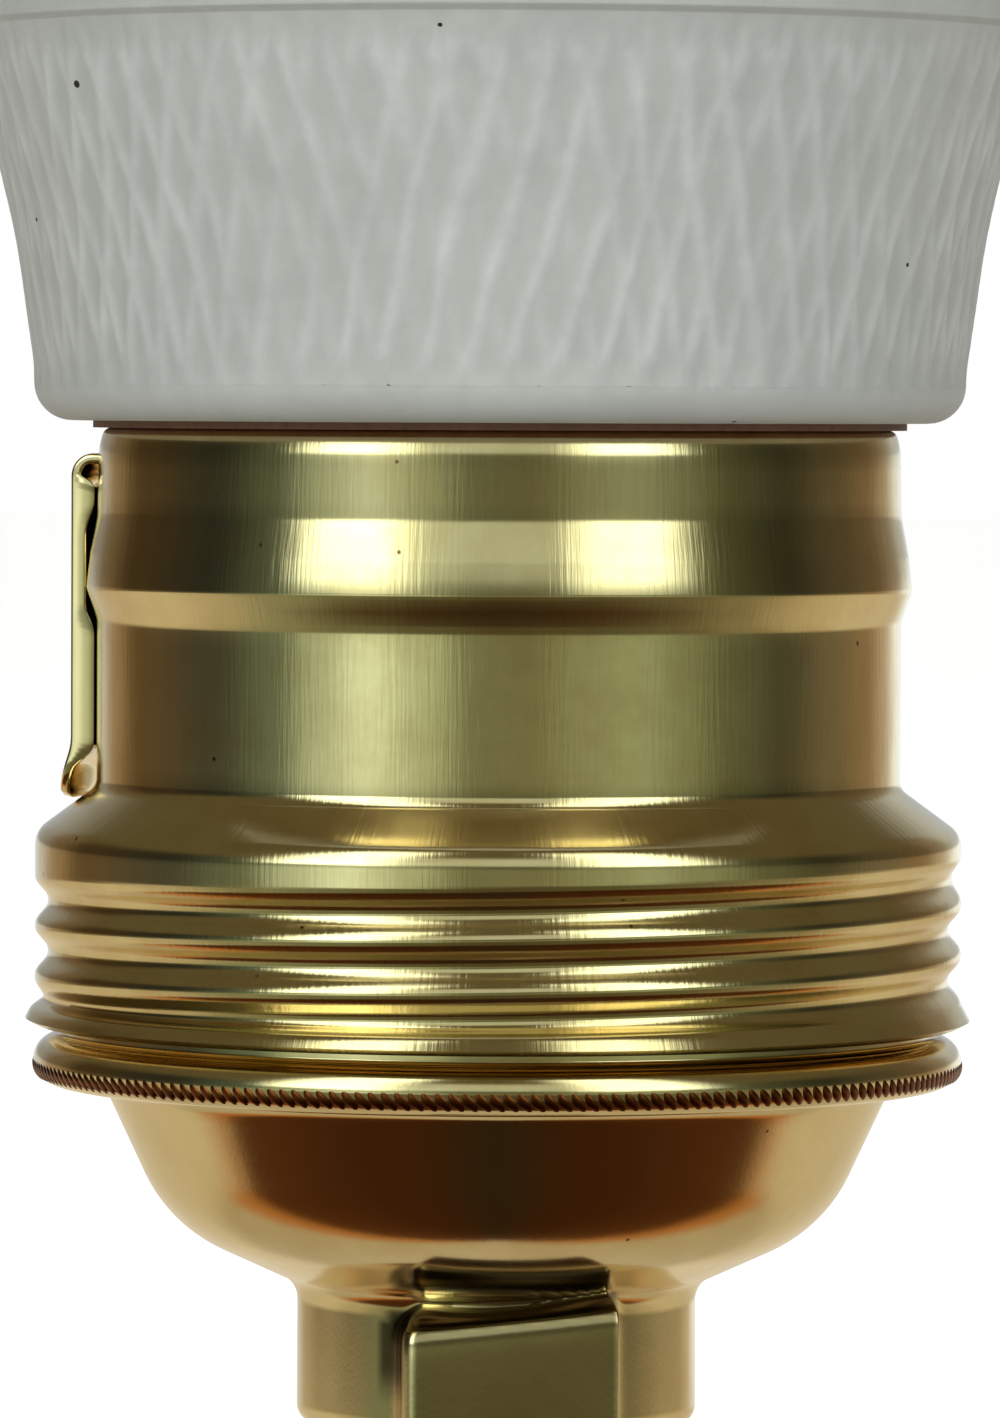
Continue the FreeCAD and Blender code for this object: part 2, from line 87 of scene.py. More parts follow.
def calc(tree, operation, *values, **settings):
    """The result of a math node on sockets or numbers."""
    return add(tree, "ShaderNodeMath", values, operation=operation, **settings)


def product(tree, result, *factors):
    for factor in factors:
        result = calc(tree, "MULTIPLY", result, factor)
    return result


def scaled(tree, vector, factor):
    return add(tree, "ShaderNodeVectorMath", {0: vector, "Scale": factor}, operation="SCALE")


def eased(tree, value, low, high, rising=True):
    """A smooth step from 0 to 1 between low and high, or from 1 to 0."""
    ends = (0.0, 1.0) if rising else (1.0, 0.0)
    return add(tree, "ShaderNodeMapRange",
               {"Value": value, "From Min": low, "From Max": high, "To Min": ends[0],
                "To Max": ends[1]}, interpolation_type="SMOOTHSTEP")


def mixed(tree, factor, first, second):
    """A colour mix; each colour is a socket or an opaque colour."""
    node = add(tree, "ShaderNodeMix", {"Factor": factor}, data_type="RGBA").node
    for socket, colour in ((node.inputs[6], first), (node.inputs[7], second)):
        if isinstance(colour, bpy.types.NodeSocket):
            tree.links.new(colour, socket)
        else:
            socket.default_value = colour
    return node.outputs[2]


def raise_grain(tree, shader, height, strength, distance):
    """Bumps the shader's normal by a height; distance is in millimetres."""
    bump = add(tree, "ShaderNodeBump",
               {"Height": height, "Strength": strength, "Distance": distance * MM})
    tree.links.new(bump, shader.inputs["Normal"])


# ---------------------------------------------------------------- sizes and colours


def colour_setting(name, description, colour):
    """A colour property; colour is a hex code or a linear colour."""
    start = linear(colour) if isinstance(colour, str) else colour
    return bpy.props.FloatVectorProperty(name=name, description=description, default=start,
                                         subtype="COLOR", size=3, min=0, max=1)


def length_setting(name, description, length, least=0.0):
    """A length property; length and least are in millimetres."""
    return bpy.props.FloatProperty(name=name, description=description, default=length * MM,
                                   min=least * MM, unit="LENGTH")


class GuardRingSettings(bpy.types.PropertyGroup):
    """The porcelain guard ring."""

    ridges_round: bpy.props.IntProperty(
        name="Ridges Round", description="Ridges of one lean round the ring",
        default=69, min=8, max=200)
    cell_height: length_setting(
        "Cell Height", "Height in which a ridge moves on by one spacing", 7.4, 1.0)
    hollow_depth: length_setting(
        "Hollow Depth", "How far the hollows between ridges sink in", 0.11)
    ridge_width: bpy.props.FloatProperty(
        name="Ridge Width", description="Half width of a ridge, as a share of the spacing",
        default=0.30, min=0.05, max=0.5, subtype="FACTOR")
    clay: colour_setting("Bisque", "Colour of the bare fired body", "#b5b7b2")
    # the ridge colour is a painted sheen on the ridges
    ridge: colour_setting(
        "Ridge", "Colour of the painted sheen on the ridges", "#cdcfcb")
    speck: colour_setting(
        "Iron Speck", "Colour of the iron specks fired into the body", "#2b241f")


class BrassSettings(bpy.types.PropertyGroup):
    """The spun and rolled brass."""

    thread_pitch: length_setting(
        "Shell Pitch", "Pitch of the thread between shell and cap", 2.14, 0.5)
    thread_depth: length_setting("Shell Thread Depth", "Depth of the rolled groove", 0.55)
    lamp_pitch: length_setting(
        "Lamp Pitch", "Pitch of the round thread that takes the lamp", 3.62, 0.5)
    lamp_depth: length_setting("Lamp Thread Depth", "Depth of the round lamp thread", 1.0)
    serrations: bpy.props.IntProperty(
        name="Serrations", description="Teeth coined round the front of the grip bead",
        default=224, min=12, max=400)
    brass: colour_setting("Brass", "Colour of the clean polished metal", "#ecd8a6")
    tarnish: colour_setting("Tarnish", "Colour of the dulled metal", "#c9ab6a")


class StageSettings(bpy.types.PropertyGroup):
    """The floor, lamps and camera."""

    floor: colour_setting("Floor", "Colour of the paper sweep", "#f2f2f0")
    soft_box: colour_setting("Soft Box", "Tint of the two soft boxes", (0.97, 1.0, 1.0))
    gloss_tint: colour_setting(
        "Soft Box In Gloss", "Tint of the soft boxes as brass mirrors them",
        (0.86, 1.0, 0.94))
    box_level: bpy.props.FloatProperty(
        name="Soft Box Level", description="Radiance of a soft box", default=3.6, min=0.0)
    camera_distance: length_setting(
        "Camera Distance", "From the camera to the holder's axis", 370.0, 10.0)


# ---------------------------------------------------------------- shapes


def offset_section(section, distance):
    """Moves an open section of (radius, height, corner) to its left, as a sheet's wall does."""
    moved = []
    for i in range(len(section)):
        normals = []
        for a, b in ((i - 1, i), (i, i + 1)):
            if a < 0 or b >= len(section):
                continue
            along_r = section[b][0] - section[a][0]
            along_z = section[b][1] - section[a][1]
            length = math.hypot(along_r, along_z)
            normals.append((-along_z / length, along_r / length))
        first, last = normals[0], normals[-1]
        turn = first[0] * last[1] - first[1] * last[0]
        scale = distance / (1.0 + first[0] * last[0] + first[1] * last[1])
        corner = section[i][2]
        if corner:
            corner = max(corner - math.copysign(distance, turn), 0.05)
        moved.append((section[i][0] + (first[0] + last[0]) * scale,
                      section[i][1] + (first[1] + last[1]) * scale, corner))
    return moved


def rounded(section, spacing, closed=True):
    """Points along a section of (radius, height, corner): arcs at corners, even runs between.

    spacing is the longest run, or a function of height that gives it.
    """
    step = spacing if callable(spacing) else (lambda height: spacing)
    count = len(section)
    arcs = []
    for i, (r, z, corner) in enumerate(section):
        here = np.array((r, z), float)
        if not closed and i in (0, count - 1):
            arcs.append([here])
            continue
        back = np.array(section[i - 1][:2], float) - here
        ahead = np.array(section[(i + 1) % count][:2], float) - here
        longest = 0.49 * min(np.linalg.norm(back), np.linalg.norm(ahead))
        back /= np.linalg.norm(back)
        ahead /= np.linalg.norm(ahead)
        half = math.acos(max(-1.0, min(1.0, float(back @ ahead)))) / 2.0
        if corner <= 0.0 or half > math.radians(89.5):
            arcs.append([here])
            continue
        tangent = math.tan(half)
        reach = min(corner / tangent, 2.0 * longest)
        radius = reach * tangent
        middle = (back + ahead) / np.linalg.norm(back + ahead)
        centre = here + middle * math.hypot(reach, radius)
        start, end = here + back * reach - centre, here + ahead * reach - centre
        sweep = math.acos(max(-1.0, min(1.0, float(start @ end) / radius ** 2)))
        pieces = max(2, math.ceil(sweep / math.radians(9)),
                     math.ceil(radius * sweep / step(here[1])))
        arc = []
        for k in range(pieces + 1):
            t = k / pieces
            blend = (start * math.sin((1 - t) * sweep) + end * math.sin(t * sweep))
            arc.append(centre + blend / math.sin(sweep))
        arcs.append(arc)
    points = []
    for i, arc in enumerate(arcs):
        points.extend(arc)
        if not closed and i == count - 1:
            break
        last, following = arc[-1], arcs[(i + 1) % count][0]
        gap = np.linalg.norm(following - last)
        if gap < 1e-6:
            points.pop()
            continue
        runs = max(1, math.ceil(gap / step((last[1] + following[1]) / 2)))
        if callable(spacing):
            runs = max(1, math.ceil(gap / min(step(last[1]), step(following[1]),
                                              step((last[1] + following[1]) / 2))))
        points.extend(last + (following - last) * (k / runs) for k in range(1, runs))
    return np.array(points)


def new_piece(name, vertices, faces, sharp_degrees=38.0):
    mesh = bpy.data.meshes.new(name)
    mesh.from_pydata(np.asarray(vertices).tolist(), [], np.asarray(faces).tolist()
                     if isinstance(faces, np.ndarray) else faces)
    mesh.polygons.foreach_set("use_smooth", [True] * len(mesh.polygons))
    mesh.set_sharp_from_angle(angle=math.radians(sharp_degrees))
    mesh.validate()
    piece = bpy.data.objects.new(name, mesh)
    bpy.context.scene.collection.objects.link(piece)
    return piece


def turned_grid(section, angles, radius_at=None):
    """Vertices, quads and (radius, height) of a closed section turned round Z, in metres.

    radius_at, where given, moves the radii: it takes arrays of radius, height and angle.
    """
    rows, turns = len(section), len(angles)
    radius = np.repeat(section[:, 0][None, :], turns, 0)
    height = np.repeat(section[:, 1][None, :], turns, 0)
    angle = np.repeat(np.asarray(angles)[:, None], rows, 1)
    if radius_at is not None:
        radius, height = radius_at(radius, height, angle)
    vertices = np.stack([radius * np.cos(angle), radius * np.sin(angle), height], -1)
    here = (np.arange(turns)[:, None] * rows + np.arange(rows)[None, :])
    over = np.roll(here, -1, 1)
    beside = np.roll(here, -1, 0)
    beside_over = np.roll(beside, -1, 1)
    faces = np.stack([here, beside, beside_over, over], -1).reshape(-1, 4)
    shifted = section - section.mean(0)
    following = np.roll(shifted, -1, 0)
    area = np.sum(shifted[:, 0] * following[:, 1] - following[:, 0] * shifted[:, 1])
    if area < 0:
        faces = faces[:, ::-1]
    return vertices.reshape(-1, 3) * MM, faces, height.reshape(-1), radius.reshape(-1)


def turned_piece(name, section, turns, mark=None, radius_at=None):
    """A turned piece. mark is (attribute, function of radius and height in millimetres)."""
    angles = np.arange(turns) * FULL_TURN / turns if isinstance(turns, int) else turns
    vertices, faces, height, radius = turned_grid(section, angles, radius_at)
    piece = new_piece(name, vertices, faces)
    if mark:
        layer = piece.data.attributes.new(mark[0], "FLOAT", "POINT")
        layer.data.foreach_set("value", mark[1](radius, height).astype(np.float32))
    return piece


def smooth_step(low, high, value):
    t = np.clip((value - low) / (high - low), 0.0, 1.0)
    return t * t * (3.0 - 2.0 * t)


def between(value, low, low_full, high_full, high):
    """1 between the two full ends, easing off to 0 at low and at high."""
    return smooth_step(low, low_full, value) * (1 - smooth_step(high_full, high, value))


# ---------------------------------------------------------------- node trees for shapes


def tree_with(name, sockets):
    """A geometry tree with the named inputs, given as (name, socket kind)."""
    tree = bpy.data.node_groups.new(name, "GeometryNodeTree")
    tree.interface.new_socket(name="Geometry", in_out="INPUT",
                              socket_type="NodeSocketGeometry")
    tree.interface.new_socket(name="Geometry", in_out="OUTPUT",
                              socket_type="NodeSocketGeometry")
    for label, kind in sockets:
        tree.interface.new_socket(name=label, in_out="INPUT", socket_type="NodeSocket" + kind)
    return tree, add(tree, "NodeGroupInput").node.outputs


def finish_tree(tree, geometry, material):
    realized = add(tree, "GeometryNodeRealizeInstances", {"Geometry": geometry})
    painted = add(tree, "GeometryNodeSetMaterial",
                  {"Geometry": realized, "Material": material})
    add(tree, "NodeGroupOutput", {"Geometry": painted})


def places(tree):
    """Each point's position, its separated position, and its turn round Z from +X."""
    position = add(tree, "GeometryNodeInputPosition")
    place = add(tree, "ShaderNodeSeparateXYZ", (position,)).node.outputs
    angle = calc(tree, "ARCTAN2", place["Y"], place["X"])
    return position, place, calc(tree, "DIVIDE", angle, FULL_TURN)


def pressed_in(tree, geometry, place, depth):
    """Moves each point depth towards the Z axis; place is its separated position."""
    inwards = calc(tree, "MULTIPLY", depth, -1.0)
    flat = add(tree, "ShaderNodeCombineXYZ", (place["X"], place["Y"], 0.0))
    outward = add(tree, "ShaderNodeVectorMath", (flat,), operation="NORMALIZE")
    shift = scaled(tree, outward, inwards)
    return add(tree, "GeometryNodeSetPosition", {"Geometry": geometry, "Offset": shift})


def shaped_by(piece, tree, **values):
    """Runs a tree on a piece and keeps the result as its plain mesh."""
    modifier = piece.modifiers.new(tree.name, "NODES")
    modifier.node_group = tree
    for item in tree.interface.items_tree:
        key = item.name.replace(" ", "_").lower()
        if item.in_out == "INPUT" and key in values:
            modifier[item.identifier] = values[key]
    graph = bpy.context.evaluated_depsgraph_get()
    mesh = bpy.data.meshes.new_from_object(piece.evaluated_get(graph),
                                           preserve_all_data_layers=True, depsgraph=graph)
    piece.modifiers.clear()
    old = piece.data
    piece.data = mesh
    bpy.data.meshes.remove(old)
    mesh.polygons.foreach_set("use_smooth", [True] * len(mesh.polygons))
    mesh.set_sharp_from_angle(angle=math.radians(38))
    return piece


def rolled_thread_tree():
    """Rolls a helical groove into a turned piece where its "rolled" attribute allows.

    The groove's centre is at Height On X where the piece crosses +X, and it runs from
    Start Turn to End Turn, counted in turns from +X, fading in and out over Fade turns.
    """
    tree, given = tree_with("rolled thread", [
        ("Pitch", "Float"), ("Depth", "Float"), ("Height On X", "Float"),
        ("Root Half Width", "Float"), ("Mouth Half Width", "Float"), ("Start Turn", "Float"),
        ("End Turn", "Float"), ("Fade", "Float"), ("Material", "Material")])
    _, place, turn = places(tree)
    above = calc(tree, "SUBTRACT", place["Z"], given["Height On X"])
    climbed = calc(tree, "DIVIDE", above, given["Pitch"])
    phase = calc(tree, "SUBTRACT", climbed, turn)
    which = calc(tree, "ROUND", phase, 0.0)
    off = calc(tree, "SUBTRACT", phase, which)
    off = calc(tree, "ABSOLUTE", off, 0.0)
    off = calc(tree, "MULTIPLY", off, given["Pitch"])
    groove = eased(tree, off, given["Root Half Width"], given["Mouth Half Width"], rising=False)
    along = calc(tree, "ADD", turn, which)
    begun = calc(tree, "ADD", given["Start Turn"], given["Fade"])
    ending = calc(tree, "SUBTRACT", given["End Turn"], given["Fade"])
    start = eased(tree, along, given["Start Turn"], begun)
    end = eased(tree, along, ending, given["End Turn"], rising=False)
    rolled = add(tree, "GeometryNodeInputNamedAttribute", {"Name": "rolled"},
                 data_type="FLOAT")
    amount = product(tree, groove, start, end, rolled, given["Depth"])
    moved = pressed_in(tree, given["Geometry"], place, amount)
    finish_tree(tree, moved, given["Material"])
    return tree


def knurl_tree():
    """Presses two crossing families of shallow ridges into a ring's "knurled" face.

    The hollows between the ridges sink in; the ridges keep the ring's own outline.  The
    ridges wander a little, and each family fades in places, as on a hand-fettled body.
    """
    tree, given = tree_with("knurled porcelain", [
        ("Ridges Round", "Int"), ("Cell Height", "Float"), ("Hollow Depth", "Float"),
        ("Ridge Width", "Float"), ("Foot", "Float"), ("Top", "Float"), ("Wander", "Float"),
        ("Seed", "Float"), ("Material", "Material")])
    position, place, turn = places(tree)
    across = calc(tree, "MULTIPLY", turn, given["Ridges Round"])
    up = calc(tree, "DIVIDE", place["Z"], given["Cell Height"])
    stretched = add(tree, "ShaderNodeVectorMath", (position, (1.0, 1.0, 0.45)),
                    operation="MULTIPLY")
    families = []
    for lean, seed_shift in ((1.0, 0.0), (-1.0, 7.3)):
        seed = calc(tree, "ADD", given["Seed"], seed_shift)
        noise = add(tree, "ShaderNodeTexNoise",
                    {"Vector": stretched, "W": seed, "Scale": 1 / (3.4 * MM), "Detail": 1.5},
                    noise_dimensions="4D")
        centred = calc(tree, "SUBTRACT", noise, 0.5)
        wander = calc(tree, "MULTIPLY", centred, given["Wander"])
        climb = calc(tree, "MULTIPLY", up, lean)
        phase = calc(tree, "ADD", across, climb)
        phase = calc(tree, "ADD", phase, wander)
        away = calc(tree, "PINGPONG", phase, 0.5)
        ridge = eased(tree, away, 0.0, given["Ridge Width"], rising=False)
        patch_seed = calc(tree, "ADD", seed, 31.0)
        patch = add(tree, "ShaderNodeTexNoise",
                    {"Vector": stretched, "W": patch_seed, "Scale": 1 / (9.0 * MM),
                     "Detail": 1.0}, noise_dimensions="4D")
        strength = add(tree, "ShaderNodeMapRange",
                       {"Value": patch, "From Min": 0.36, "From Max": 0.58,
                        "To Min": 0.25, "To Max": 1.0})
        families.append(calc(tree, "MULTIPLY", ridge, strength))
    ridges = calc(tree, "MAXIMUM", *families)
    scallop = calc(tree, "MULTIPLY", ridges, 1.1 * MM)
    low_edge = calc(tree, "ADD", given["Foot"], scallop)
    low_full = calc(tree, "ADD", low_edge, 1.2 * MM)
    rise = eased(tree, place["Z"], low_edge, low_full)
    high_edge = calc(tree, "SUBTRACT", given["Top"], scallop)
    high_full = calc(tree, "SUBTRACT", high_edge, 0.7 * MM)
    fall = eased(tree, place["Z"], high_full, high_edge, rising=False)
    knurled = add(tree, "GeometryNodeInputNamedAttribute", {"Name": "knurled"},
                  data_type="FLOAT")
    mask = product(tree, rise, fall, knurled)
    hollow = calc(tree, "SUBTRACT", 1.0, ridges)
    sink = product(tree, hollow, mask, given["Hollow Depth"])
    kept = calc(tree, "MULTIPLY", ridges, mask)
    named = add(tree, "GeometryNodeStoreNamedAttribute",
                {"Geometry": given["Geometry"], "Name": "ridge", "Value": kept},
                data_type="FLOAT", domain="POINT")
    finish_tree(tree, pressed_in(tree, named, place, sink), given["Material"])
    return tree


def serration_tree():
    """Sets copies of one tooth, drawn on the +X side, evenly round the Z axis."""
    tree, given = tree_with("rim serrations", [("Count", "Int"), ("Material", "Material")])
    points = add(tree, "GeometryNodePoints", {"Count": given["Count"]})
    index = add(tree, "GeometryNodeInputIndex")
    share = calc(tree, "DIVIDE", index, given["Count"])
    angle = calc(tree, "MULTIPLY", share, FULL_TURN)
    rotation = add(tree, "ShaderNodeCombineXYZ", (0.0, 0.0, angle))
    teeth = add(tree, "GeometryNodeInstanceOnPoints",
                {"Points": points, "Instance": given["Geometry"], "Rotation": rotation})
    finish_tree(tree, teeth, given["Material"])
    return tree


# ---------------------------------------------------------------- materials


def new_material(name):
    """A material with a bare Principled shader, and the tree and shader themselves."""
    material = bpy.data.materials.new(name)
    material.use_nodes = True
    tree = material.node_tree
    tree.nodes.clear()
    shader = add(tree, "ShaderNodeBsdfPrincipled").node
    add(tree, "ShaderNodeOutputMaterial", {"Surface": shader.outputs[0]})
    return material, tree, shader


def brass_material(name, colour, tarnish, roughness, blotch, line_depth, line_length):
    """Bare drawn brass: a warm mirror, dulled in soft blotches and drawn along its walls.

    line_length is the length of the die lines along the axis, in metres.
    """
    material, tree, shader = new_material(name)
    place = add(tree, "ShaderNodeTexCoord").node.outputs["Object"]
    cloud = add(tree, "ShaderNodeTexNoise",
                {"Vector": place, "Scale": 1 / (5.5 * MM), "Detail": 5.0, "Roughness": 0.62})
    dull = add(tree, "ShaderNodeMapRange",
               {"Value": cloud, "From Min": 0.42, "From Max": 0.72, "To Max": blotch})
    metal = mixed(tree, dull, opaque(colour), opaque(tarnish))
    # pits left by handling, a few tenths of a millimetre across
    pits = add(tree, "ShaderNodeTexVoronoi", {"Vector": place, "Scale": 1 / (1.9 * MM)}).node
    pit = add(tree, "ShaderNodeMapRange",
              {"Value": pits.outputs["Distance"], "From Min": 0.03, "From Max": 0.07,
               "To Min": 1.0, "To Max": 0.0})
    picked = add(tree, "ShaderNodeSeparateColor", (pits.outputs["Color"],))
    rare = calc(tree, "GREATER_THAN", picked, 0.80)
    pit = calc(tree, "MULTIPLY", pit, rare)
    metal = mixed(tree, pit, metal, opaque(linear("#6b4a1e")))
    # painted dark reflections: the metal darkens to red-brown where a piece carries the
    # attribute, round the cap's pocket
    painted_reflection = add(tree, "ShaderNodeAttribute", attribute_name="painted_reflection").node.outputs["Fac"]
    metal = mixed(tree, painted_reflection, metal, opaque(linear("#2e160a")))
    tree.links.new(metal, shader.inputs["Base Color"])
    # die lines along the drawing direction, about a sixth of a millimetre apart
    part = add(tree, "ShaderNodeSeparateXYZ", (place,)).node.outputs
    angle = calc(tree, "ARCTAN2", part["Y"], part["X"])
    round_way = calc(tree, "MULTIPLY", angle, 18 * MM / (0.17 * MM))
    long_way = calc(tree, "DIVIDE", part["Z"], line_length)
    unrolled = add(tree, "ShaderNodeCombineXYZ", (round_way, long_way, 0.0))
    lines = add(tree, "ShaderNodeTexNoise", {"Vector": unrolled, "Scale": 1.0, "Detail": 3.0})
    fuzz = add(tree, "ShaderNodeMapRange",
               {"Value": cloud, "From Min": 0.35, "From Max": 0.75,
                "To Min": roughness, "To Max": roughness * 1.55})
    scuffed = calc(tree, "MULTIPLY_ADD", lines, 0.06, fuzz)
    tree.links.new(scuffed, shader.inputs["Roughness"])
    bump = add(tree, "ShaderNodeBump",
               {"Height": lines, "Strength": line_depth, "Distance": 0.02 * MM})
    waves = add(tree, "ShaderNodeTexNoise",
                {"Vector": place, "Scale": 1 / (3.2 * MM), "Detail": 2.0})
    rolled = add(tree, "ShaderNodeBump",
                 {"Height": waves, "Strength": 0.25, "Distance": 0.03 * MM, "Normal": bump})
    tree.links.new(rolled, shader.inputs["Normal"])
    shader.inputs["Metallic"].default_value = 1.0
    return material


def bisque_material(settings):
    """Unglazed steatite porcelain: matt grey-white, with a painted sheen making its ridges
    paler, iron specks.
    """
    material, tree, shader = new_material("unglazed steatite porcelain")
    place = add(tree, "ShaderNodeTexCoord").node.outputs["Object"]
    ridge = add(tree, "ShaderNodeAttribute", attribute_name="ridge").node.outputs["Fac"]
    mottle = add(tree, "ShaderNodeTexNoise",
                 {"Vector": place, "Scale": 1 / (2.6 * MM), "Detail": 6.0, "Roughness": 0.65})
    # a painted sheen: the ridges are painted paler in mottled patches, where they catch the
    # light
    ridge_sheen = calc(tree, "MULTIPLY", ridge, mottle)
    ridge_sheen = calc(tree, "MULTIPLY", ridge_sheen, 1.1, use_clamp=True)
    body = mixed(tree, ridge_sheen, opaque(settings.clay), opaque(settings.ridge))
    shade = add(tree, "ShaderNodeMapRange",
                {"Value": mottle, "From Min": 0.3, "From Max": 0.7, "To Min": 0.93,
                 "To Max": 1.05})
    toned = scaled(tree, body, shade)
    # iron specks 0.2 to 0.5 mm across, a few to the square centimetre
    specks = add(tree, "ShaderNodeTexVoronoi", {"Vector": place, "Scale": 1 / (2.4 * MM)}).node
    lot = add(tree, "ShaderNodeSeparateColor", (specks.outputs["Color"],)).node
    size = add(tree, "ShaderNodeMapRange",
               {"Value": lot.outputs[1], "To Min": 0.04, "To Max": 0.10})
    inside = calc(tree, "LESS_THAN", specks.outputs["Distance"], size)
    rare = calc(tree, "GREATER_THAN", lot.outputs[0], 0.74)
    speck = calc(tree, "MULTIPLY", inside, rare)
    spotted = mixed(tree, speck, toned, opaque(settings.speck))
    tree.links.new(spotted, shader.inputs["Base Color"])
    shader.inputs["Roughness"].default_value = 0.52
    grain = add(tree, "ShaderNodeTexNoise",
                {"Vector": place, "Scale": 1 / (0.35 * MM), "Detail": 3.0})
    raise_grain(tree, shader, grain, 0.35, 0.04)
    return material


def glazed_material():
    """Glazed electrical porcelain: white body under a smooth, slightly uneven glass."""
    material, tree, shader = new_material("glazed electrical porcelain")
    place = add(tree, "ShaderNodeTexCoord").node.outputs["Object"]
    pool = add(tree, "ShaderNodeTexNoise", {"Vector": place, "Scale": 1 / (4.0 * MM)})
    body = mixed(tree, pool, opaque(linear("#e9e6dc")), opaque(linear("#d9d5c8")))
    tree.links.new(body, shader.inputs["Base Color"])
    shader.inputs["Roughness"].default_value = 0.16
    raise_grain(tree, shader, pool, 0.3, 0.05)
    return material


def steel_material():
    """Bright zinc-plated steel: cool grey, turned on a lathe, a little cloudy."""
    material, tree, shader = new_material("zinc-plated steel")
    place = add(tree, "ShaderNodeTexCoord").node.outputs["Object"]
    cloud = add(tree, "ShaderNodeTexNoise",
                {"Vector": place, "Scale": 1 / (1.2 * MM), "Detail": 4.0})
    body = mixed(tree, cloud, opaque(linear("#cfd0cf")), opaque(linear("#b4b2ab")))
    tree.links.new(body, shader.inputs["Base Color"])
    shader.inputs["Metallic"].default_value = 1.0
    rough = add(tree, "ShaderNodeMapRange", {"Value": cloud, "To Min": 0.22, "To Max": 0.42})
    tree.links.new(rough, shader.inputs["Roughness"])
    fine = add(tree, "ShaderNodeTexNoise", {"Vector": place, "Scale": 1 / (0.12 * MM)})
    raise_grain(tree, shader, fine, 0.15, 0.01)
    return material


def fibre_material():
    """Vulcanised fibre: dense red-brown pressed paper with short dark fibres."""
    material, tree, shader = new_material("vulcanised fibre")
    place = add(tree, "ShaderNodeTexCoord").node.outputs["Object"]
    hairs = add(tree, "ShaderNodeTexNoise",
                {"Vector": place, "Scale": 1 / (0.5 * MM), "Detail": 6.0, "Roughness": 0.7})
    body = mixed(tree, hairs, opaque(linear("#4a2f22")), opaque(linear("#8a5f45")))
    tree.links.new(body, shader.inputs["Base Color"])
    shader.inputs["Roughness"].default_value = 0.62
    raise_grain(tree, shader, hairs, 0.3, 0.03)
    return material


def dress(node, material):
    """Gives a carried-over frame node its material."""
    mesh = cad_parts[node].data
    mesh.materials.clear()
    mesh.materials.append(material)


def named_material(name, make):
    """The material of that name, made the first time it is asked for."""
    return bpy.data.materials.get(name) or make()


def polished_brass():
    settings = bpy.context.scene.lamp_holder_brass
    return named_material("polished drawn brass", lambda: brass_material(
        "polished drawn brass", settings.brass, settings.tarnish, 0.095, 0.5, 0.35, 3.5 * MM))


def spun_brass():
    settings = bpy.context.scene.lamp_holder_brass
    return named_material("polished spun brass", lambda: brass_material(
        "polished spun brass", settings.brass, settings.tarnish, 0.09, 0.35, 0.10, 0.25 * MM))


def spring_brass():
    return named_material("bright spring brass", lambda: brass_material(
        "bright spring brass", linear("#f3dcae"), linear("#dcc084"), 0.06, 0.3, 0.1,
        3.5 * MM))


# the serration teeth's brass, coloured dark red as a painted dark reflection along the front of
# the grip bead
def red_reflection_brass():
    return named_material("brass painted with a dark red reflection", lambda: brass_material(
        "brass painted with a dark red reflection", linear("#7a4422"), linear("#552c14"), 0.24, 0.7, 0.1,
        0.3 * MM))


def plain_brass():
    return named_material("plain turned brass", lambda: brass_material(
        "plain turned brass", linear("#dcc48c"), linear("#a8874a"), 0.26, 0.6, 0.25,
        0.2 * MM))


# ---------------------------------------------------------------- the pieces


class MakeGuardRing(bpy.types.Operator):
    """Make the porcelain guard ring with its pressed, crossing ridges"""

    bl_idname = "lamp_holder.guard_ring"
    bl_label = "Guard Ring"

    def execute(self, context):
        settings = context.scene.lamp_holder_ring
        foot, band = 43.4, 58.8
        section = [(13.78, 42.4, 0.25), (19.66, 42.4, 1.6), (19.68, 44.4, 8.0),
                   (20.5, 50.2, 30.0), (22.55, 58.8, 0.15), (22.9, 59.05, 0.15),
                   (23.0, 62.5, 1.2), (19.7, 62.5, 0.8), (17.9, 55.6, 2.0),
                   (13.78, 52.0, 0.3)]
        points = rounded(section, lambda z: 0.42 if 43 < z < 59 else 0.8)
        # the bore needs only every third row below the mouth
        inner = points[:, 0] < 19.0
        keep = np.ones(len(points), bool)
        run = 0
        for i in np.flatnonzero(inner & (points[:, 1] > 43)):
            run += 1
            keep[i] = run % 3 == 1 or points[i, 1] > 51
        points = points[keep]

        def knurled(radius, height):
            on_side = (radius > 19.0) & (height > foot) & (height < band)
            return on_side.astype(float)

        ring = turned_piece("porcelain_guard_ring", points, 672, ("knurled", knurled))
        shaped_by(ring, knurl_tree(), ridges_round=settings.ridges_round,
                  cell_height=settings.cell_height, hollow_depth=settings.hollow_depth,
                  ridge_width=settings.ridge_width, foot=foot * MM, top=band * MM,
                  wander=0.8, seed=4.0, material=bisque_material(settings))
        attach(ring, "ring")
        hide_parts("guard_ring")
        return {"FINISHED"}


